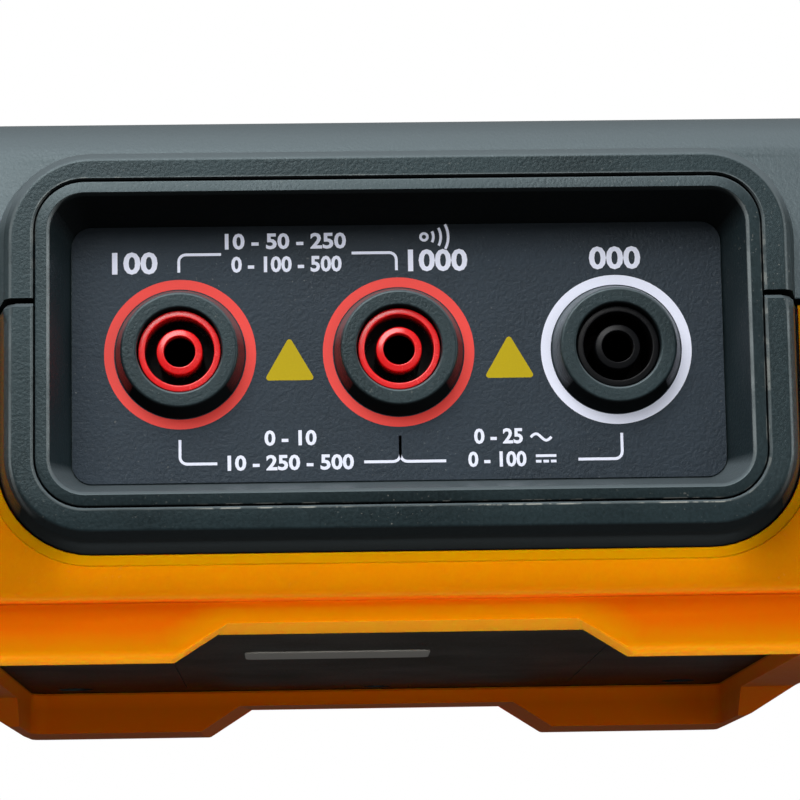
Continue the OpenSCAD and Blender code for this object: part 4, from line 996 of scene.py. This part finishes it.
# %% Node tree for printed lines
strip, given = shaper("printed_line", ("Width", FLOAT), ("Corner", FLOAT))
curve = node(strip, "GeometryNodeMeshToCurve", {"Mesh": given["Geometry"]}).outputs[0]
bent = node(strip, "GeometryNodeFilletCurve",
            {"Curve": curve, "Radius": given["Corner"], "Limit Radius": True, "Count": 5}, mode="POLY")
square = node(strip, "GeometryNodeCurvePrimitiveQuadrilateral",
              {"Width": given["Width"], "Height": given["Width"]})
drawn = node(strip, "GeometryNodeCurveToMesh",
             {"Curve": bent.outputs[0], "Profile Curve": square.outputs[0], "Fill Caps": True})
end_tree(strip, given, drawn.outputs[0])


def lines(name, paths, width, corner, material, place):
    """Flat printed lines along paths of points in millimetres."""
    mesh = bpy.data.meshes.new(name)
    points = [(x * MM, y * MM, 0) for path in paths for x, y in path]
    edges, start = [], 0
    for path in paths:
        edges += [(start + i, start + i + 1) for i in range(len(path) - 1)]
        start += len(path)
    mesh.from_pydata(points, edges, [])
    drawn = bpy.data.objects.new(name, mesh)
    scene.collection.objects.link(drawn)
    shaped(drawn, strip, {"Width": width * MM, "Corner": corner * MM, "Finish": material})
    drawn.data.transform(Matrix.Diagonal((1, 1, INK_DEPTH / width, 1)))
    drawn.data.transform(at(0, 0, INK_DEPTH / 2))
    drawn.data.transform(place)
    return drawn


def arc(x, y, r, start, end, steps=14):
    """Points along part of a circle, between two angles in degrees."""
    turns = [math.radians(start + (end - start) * i / steps) for i in range(steps + 1)]
    return [(x + r * math.cos(t), y + r * math.sin(t)) for t in turns]

# %% Lines between the sockets
BRACKET, SIGN = 0.36, 0.34
brackets = [[(-27.9, 10.6), (-27.9, 12.9), (-22.5, 12.9)], [(-5.8, 12.9), (-0.1, 12.9), (-0.1, 10.6)],
            [(-27.9, -11.0), (-27.9, -14.1), (-23.2, -14.1)], [(-4.6, -14.1), (0, -14.1), (0, -10.8)],
            [(0, -10.8), (0, -14.1), (5.8, -14.1)], [(22.6, -14.1), (28.2, -14.1), (28.2, -10.8)]]
dress(lines("brackets", brackets, BRACKET, 0.9, INK_WHITE, LABEL), "label_print", ink=INK_WHITE)
wave = [(16.6 + i * 0.165, -11.2 + 0.42 * math.sin(i * math.pi / 8)) for i in range(17)]
dashes = [[(x, -14.3), (x + 0.7, -14.3)] for x in (17.2, 18.15, 19.1)]
sound = [arc(3.5, 14.9, 0.45, 0, 360)] + [arc(3.2, 14.9, r, -28, 28) for r in (1.5, 2.45, 3.4)]
signs = [wave, [(17.2, -13.6), (19.8, -13.6)], *dashes, *sound]
dress(lines("signs", signs, SIGN, 0.0, INK_WHITE, LABEL), "label_print", ink=INK_WHITE)

# %% [markdown]
# The numbers use the font that comes with the program. Each one is turned into a mesh, fitted to the
# space that the lettering takes on the real label, and pressed to the thickness of ink.

# %% Numbers on the label
def letters(name, words, place):
    """Printed characters, each entry (text, left, bottom, right, top) in millimetres."""
    prints = []
    for text, x0, y0, x1, y1 in words:
        font = bpy.data.curves.new("font", "FONT")
        font.body, font.extrude, font.offset, font.resolution_u = text, 0.1, 0.03, 3
        holder = bpy.data.objects.new("font", font)
        scene.collection.objects.link(holder)
        shape = mesh_of(holder)
        bpy.data.objects.remove(holder)
        spans = [(min(c), max(c)) for c in zip(*(v.co for v in shape.vertices))]
        goals = ((x0, x1), (y0, y1), (0, INK_DEPTH))
        points = [[to0 + (c - from0) / (from1 - from0) * (to1 - to0)
                   for c, (from0, from1), (to0, to1) in zip(v.co, spans, goals)] for v in shape.vertices]
        prints.append(make("word", points, [tuple(p.vertices) for p in shape.polygons], place))
    return join(name, *prints)


def half_width(text):
    """Half the room that small numbers need. A lone 1 is a narrow bar."""
    return 0.25 if text == "1" else 0.72 * len(text)


words = [("100", -36.4, 10.4, -30.6, 13.3), ("1000", 1.4, 10.4, 9.0, 13.3), ("000", 24.6, 10.4, 31.2, 13.4),
         ("10 - 50 - 250", -22.0, 13.5, -6.5, 15.6), ("0 - 100 - 500", -21.2, 10.5, -7.1, 12.6),
         ("0 - 10", -17.2, -11.9, -10.6, -9.9), ("10 - 250 - 500", -21.9, -15.05, -5.9, -13.05),
         ("0 - 25", 9.4, -12.0, 15.6, -10.0), ("0 - 100", 8.6, -14.95, 16.0, -12.95)]
dress(letters("numbers", words, LABEL), "label_print", ink=INK_WHITE)

# %% [markdown]
# ## Display
# The deck isn't seen in the photo, so it gets what such a tester needs: a window with a dark border
# over a liquid crystal display. The digits are seven bars each, and a bar scale runs underneath.

# %% Window
DECK_TOP, WINDOW_Y = 71.5, -36.5
edge = [(69.7, 0.15), (69.85, 0), (71.3, 0), (DECK_TOP, 0.2)]
window = loft("window", [(z, 46 - i, WINDOW_Y - 23 + i, WINDOW_Y + 23 - i, 2.9 - i) for z, i in edge], n=8)
dress(window, "window_clear", "display_window")
top = DECK_TOP + INK_DEPTH
outer, inner = (45.8, 22.8, 2.7), (40.5, 17.5, 1.5)
rows = [(DECK_TOP, *outer), (top, *outer), (top, *inner), (DECK_TOP, *inner)]
border = loft("window_border", [(z, w, WINDOW_Y - h, WINDOW_Y + h, r) for z, w, h, r in rows], ring=True, n=8)
dress(border, "window_clear", ink=INK_BLACK)

# %% Digits and bar scale
LCD = on_deck(0, WINDOW_Y, 67.3)
BARS = {"a": (0, 7, True), "b": (3.6, 3.5, False), "c": (3.6, -3.5, False), "d": (0, -7, True),
        "e": (-3.6, -3.5, False), "f": (-3.6, 3.5, False), "g": (0, 0, True)}
DIGITS = {"0": "abcdef", "2": "abged", "5": "afgcd"}


def bar(x, y, lying):
    """One of the seven bars of a digit, pointed at both ends."""
    a, b = 2.6, 0.75
    form = [(-a - b, 0), (-a, -b), (a, -b), (a + b, 0), (a, b), (-a, b)]
    return [(x + (p if lying else q), y + (q if lying else p), 0) for p, q in form]


def oblong(x0, y0, x1, y1, r=0):
    """The corners of a rectangle, each with its radius."""
    return [(x0, y0, r), (x1, y0, r), (x1, y1, r), (x0, y1, r)]


parts = []
for place, digit in ((-21, "0"), (-8, "2"), (5, "5"), (18, "0")):
    for name in DIGITS[digit]:
        x, y, lying = BARS[name]
        parts.append(plate("bar", bar(x + place, y + 3, lying), LCD))
parts.append(plate("dot", oblong(-15.2, -4.8, -13.8, -3.4, 0.3), LCD))
dress(join("digits", *parts), "lcd_surface", ink=INK_BLACK)
tick = plate("bar_scale", oblong(-0.35, -1, 0.35, 1), None)
repeated(tick, INK_BLACK, 31, (-30, -11, 0), (2, 0, 0))
tick.data.transform(LCD)
dress(tick, "lcd_surface", ink=INK_BLACK)

# %% [markdown]
# ## Keys
# Five soft keys stand in a row under the display. Each is a small pillow with a flange
# that stops it from coming out, so its outline steps in at the deck. Every key is a body of its own.
# Whoever reads the display stands at the far end, so the numbers run from right to left along x.

# %% Function keys
KEY_TOP = 73.1
foot_rows = [(66.5, 2, 2, 1.9), (67.1, 2, 2, 1.9)]
flange = [(67.1, 8.7, 5.2, 3.7), (68.7, 8.7, 5.2, 3.7)]
pillow = [(68.7, 7.5, 4, 2.5), (72.3, 7.45, 3.95, 2.45), (72.75, 7.3, 3.8, 2.3), (73.0, 6.9, 3.4, 1.9),
          (73.08, 6.2, 2.7, 1.3), (KEY_TOP, 4, 1, 0.5)]
rows = [(z, w, -h, h, r) for z, w, h, r in foot_rows + flange + pillow]
for number, (name, x) in enumerate(reversed(KEYS.items()), 1):
    key = loft(name + "_cap", rows, at(x, KEY_Y), n=8)
    dress(key, "key_rubber", name, rides=name + "_body", angle=40)
    half = half_width(str(number))
    mark = letters(name + "_mark", [(str(number), -half, -1.2, half, 1.2)], on_deck(x, KEY_Y, KEY_TOP))
    dress(mark, "key_rubber", rides=name + "_body", ink=INK_WHITE)

# %% [markdown]
# ## Selector knob
# The knob is a low skirt with a finger bar across it. The bar's sides are grooved for grip,
# and a white line on top points at the chosen number.

# %% Knob
KNOB_TOP, AT_KNOB = 82.5, at(*KNOB)
knob = lathe("knob", [(0, 72, 0), (22, 72, 0.25), (21.05, 75, 0.7), (0, 75, 0)], AT_KNOB, 96)
bar_rows = [(72.6, 6, 20, 5), (76, 5.95, 19.9, 4.95), (80.9, 5.7, 19.6, 4.7), (81.7, 5.45, 19.35, 4.45),
            (82.25, 4.95, 18.85, 3.95), (KNOB_TOP, 4.2, 18.1, 3.2)]
carve(knob, loft("finger_bar", [(z, w, -h, h, r) for z, w, h, r in bar_rows], AT_KNOB, n=8), how="UNION")
for side in (-1, 1):
    groove = block("groove", sorted((side * 5.45, side * 8)), (-0.5, 0.5), (76.5, 80.6))
    repeated(groove, FINISH["knob_plastic"], 11, (KNOB[0], KNOB[1] - 12.5, 0), (0, 2.5, 0))
    carve(knob, groove)
carve(knob, hole(*KNOB, 3.03, (70, 79.6)))
dress(knob, "knob_plastic", "selector_knob", rides="selector")
pointer = plate("pointer", oblong(-0.7, 4, 0.7, 17.4, 0.3), on_deck(*KNOB, KNOB_TOP))
dress(pointer, "knob_plastic", rides="selector", ink=INK_WHITE)

# %% Dial round the knob
DIAL, NUMBERS_OUT = on_deck(*KNOB, DECK_TOP), 28.2
tick = plate("dial_ticks", oblong(-0.3, 23.2, 0.3, 25.4), None)
repeated(tick, INK_WHITE, 9, first_turn=-120, turn_step=30)
tick.data.transform(DIAL)
dress(tick, "deck_print", ink=INK_WHITE)
names = {-120: "4", -90: "3", -60: "2", -30: "1", 0: "OFF", 30: "50", 60: "100", 90: "250", 120: "500"}
marks = []
for degrees, text in names.items():
    a, half = math.radians(degrees), half_width(text)
    x, y = NUMBERS_OUT * math.sin(a), NUMBERS_OUT * math.cos(a)
    marks.append((text, x - half, y - 1, x + half, y + 1))
dress(letters("dial_numbers", marks, DIAL), "deck_print", ink=INK_WHITE)

# %% [markdown]
# ## Test button, guard and lamp
# The button that puts voltage on the sockets is big and orange, with a dished top for the thumb.
# A ring guards it against being pressed by chance, and a small red lamp warns beside it.

# %% Button, guard and lamp
button = [(0, 77, 0), (7.2, 77, 0), (7.2, 74, 0), (12, 74, 0.2), (12, 79, 1.1), (9.2, 79, 0.8),
          (8.6, 78.6, 0.6), (0, 78.2, 0)]
guard = [(12.3, 71, 0), (16.8, 71, 0), (16.8, 71.6, 0.2), (15.3, 77.5, 1.2), (12.3, 77.5, 0.9)]
lens = [(0, 61.5, 0), (2.9, 61.5, 0), (2.9, 62.5, 0), (2.4, 62.5, 0), (2.4, 72.3, 0.75), (0, 72.3, 0)]
dress(lathe("button", button, at(*BUTTON), 96), "button_plastic", "test_button", rides="test_key")
dress(lathe("guard", guard, at(*BUTTON), 96), "guard_plastic", "test_guard")
dress(lathe("lens", lens, at(*LAMP), 48), "lamp_lens", "warning_lamp")
switch = [("ON", -2.6, -23.0, 2.6, -20.6)]
dress(letters("button_mark", switch, on_deck(*BUTTON, DECK_TOP)), "deck_print", ink=INK_WHITE)

# %% [markdown]
# ## Spring under the button
# A wire spring pushes the button back up. A spiral curve with a small circle swept along it is a spring,
# so a node tree makes it from its four sizes.

# %% Node tree for the spring
coil, given = shaper("coil", ("Radius", FLOAT), ("Wire", FLOAT), ("Height", FLOAT), ("Turns", FLOAT))
spiral = node(coil, "GeometryNodeCurveSpiral",
              {"Resolution": 40, "Rotations": given["Turns"], "Start Radius": given["Radius"],
               "End Radius": given["Radius"], "Height": given["Height"]})
circle = node(coil, "GeometryNodeCurvePrimitiveCircle", {"Resolution": 12, "Radius": given["Wire"]})
wire = node(coil, "GeometryNodeCurveToMesh",
            {"Curve": spiral.outputs[0], "Profile Curve": circle.outputs[0], "Fill Caps": True})
end_tree(coil, given, wire.outputs[0])

# %% Spring
SPRING_HEIGHT, PRESS, WIRE = 5.5, 2.2, 0.4
spring = shaped(make("press_spring", [], []), coil, {
    "Radius": 6.2 * MM, "Wire": WIRE * MM, "Height": (SPRING_HEIGHT - 2 * WIRE) * MM, "Turns": 2.5,
    "Finish": FINISH["spring_steel"]})
spring.data.transform(at(*BUTTON, DECK_TOP + WIRE))
dress(spring, "spring_steel", "test_spring")
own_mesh(spring)

# %% [markdown]
# ## The measured pieces that stay
# Boards, cells, screws and contacts are already the right shape. They only need the finish
# that the record names for them.

# %% Finishes on the measured pieces
for part in frame["record"]["subparts"]:
    solid = frame["nodes"][part["node"]]
    for place in solid.material_slots:
        place.material = FINISH[part["material_slot"]]
    if not solid.material_slots:
        solid.data.materials.append(FINISH[part["material_slot"]])

# %% [markdown]
# ## The sizes
# Dressing must not make the object bigger, so both boxes are printed.

# %% Sizes
boxes = {"cad": cad_box, "visual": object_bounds()}
for name, (low, high) in boxes.items():
    print(name, [round((b - a) / MM, 1) for a, b in zip(low, high)], "mm")
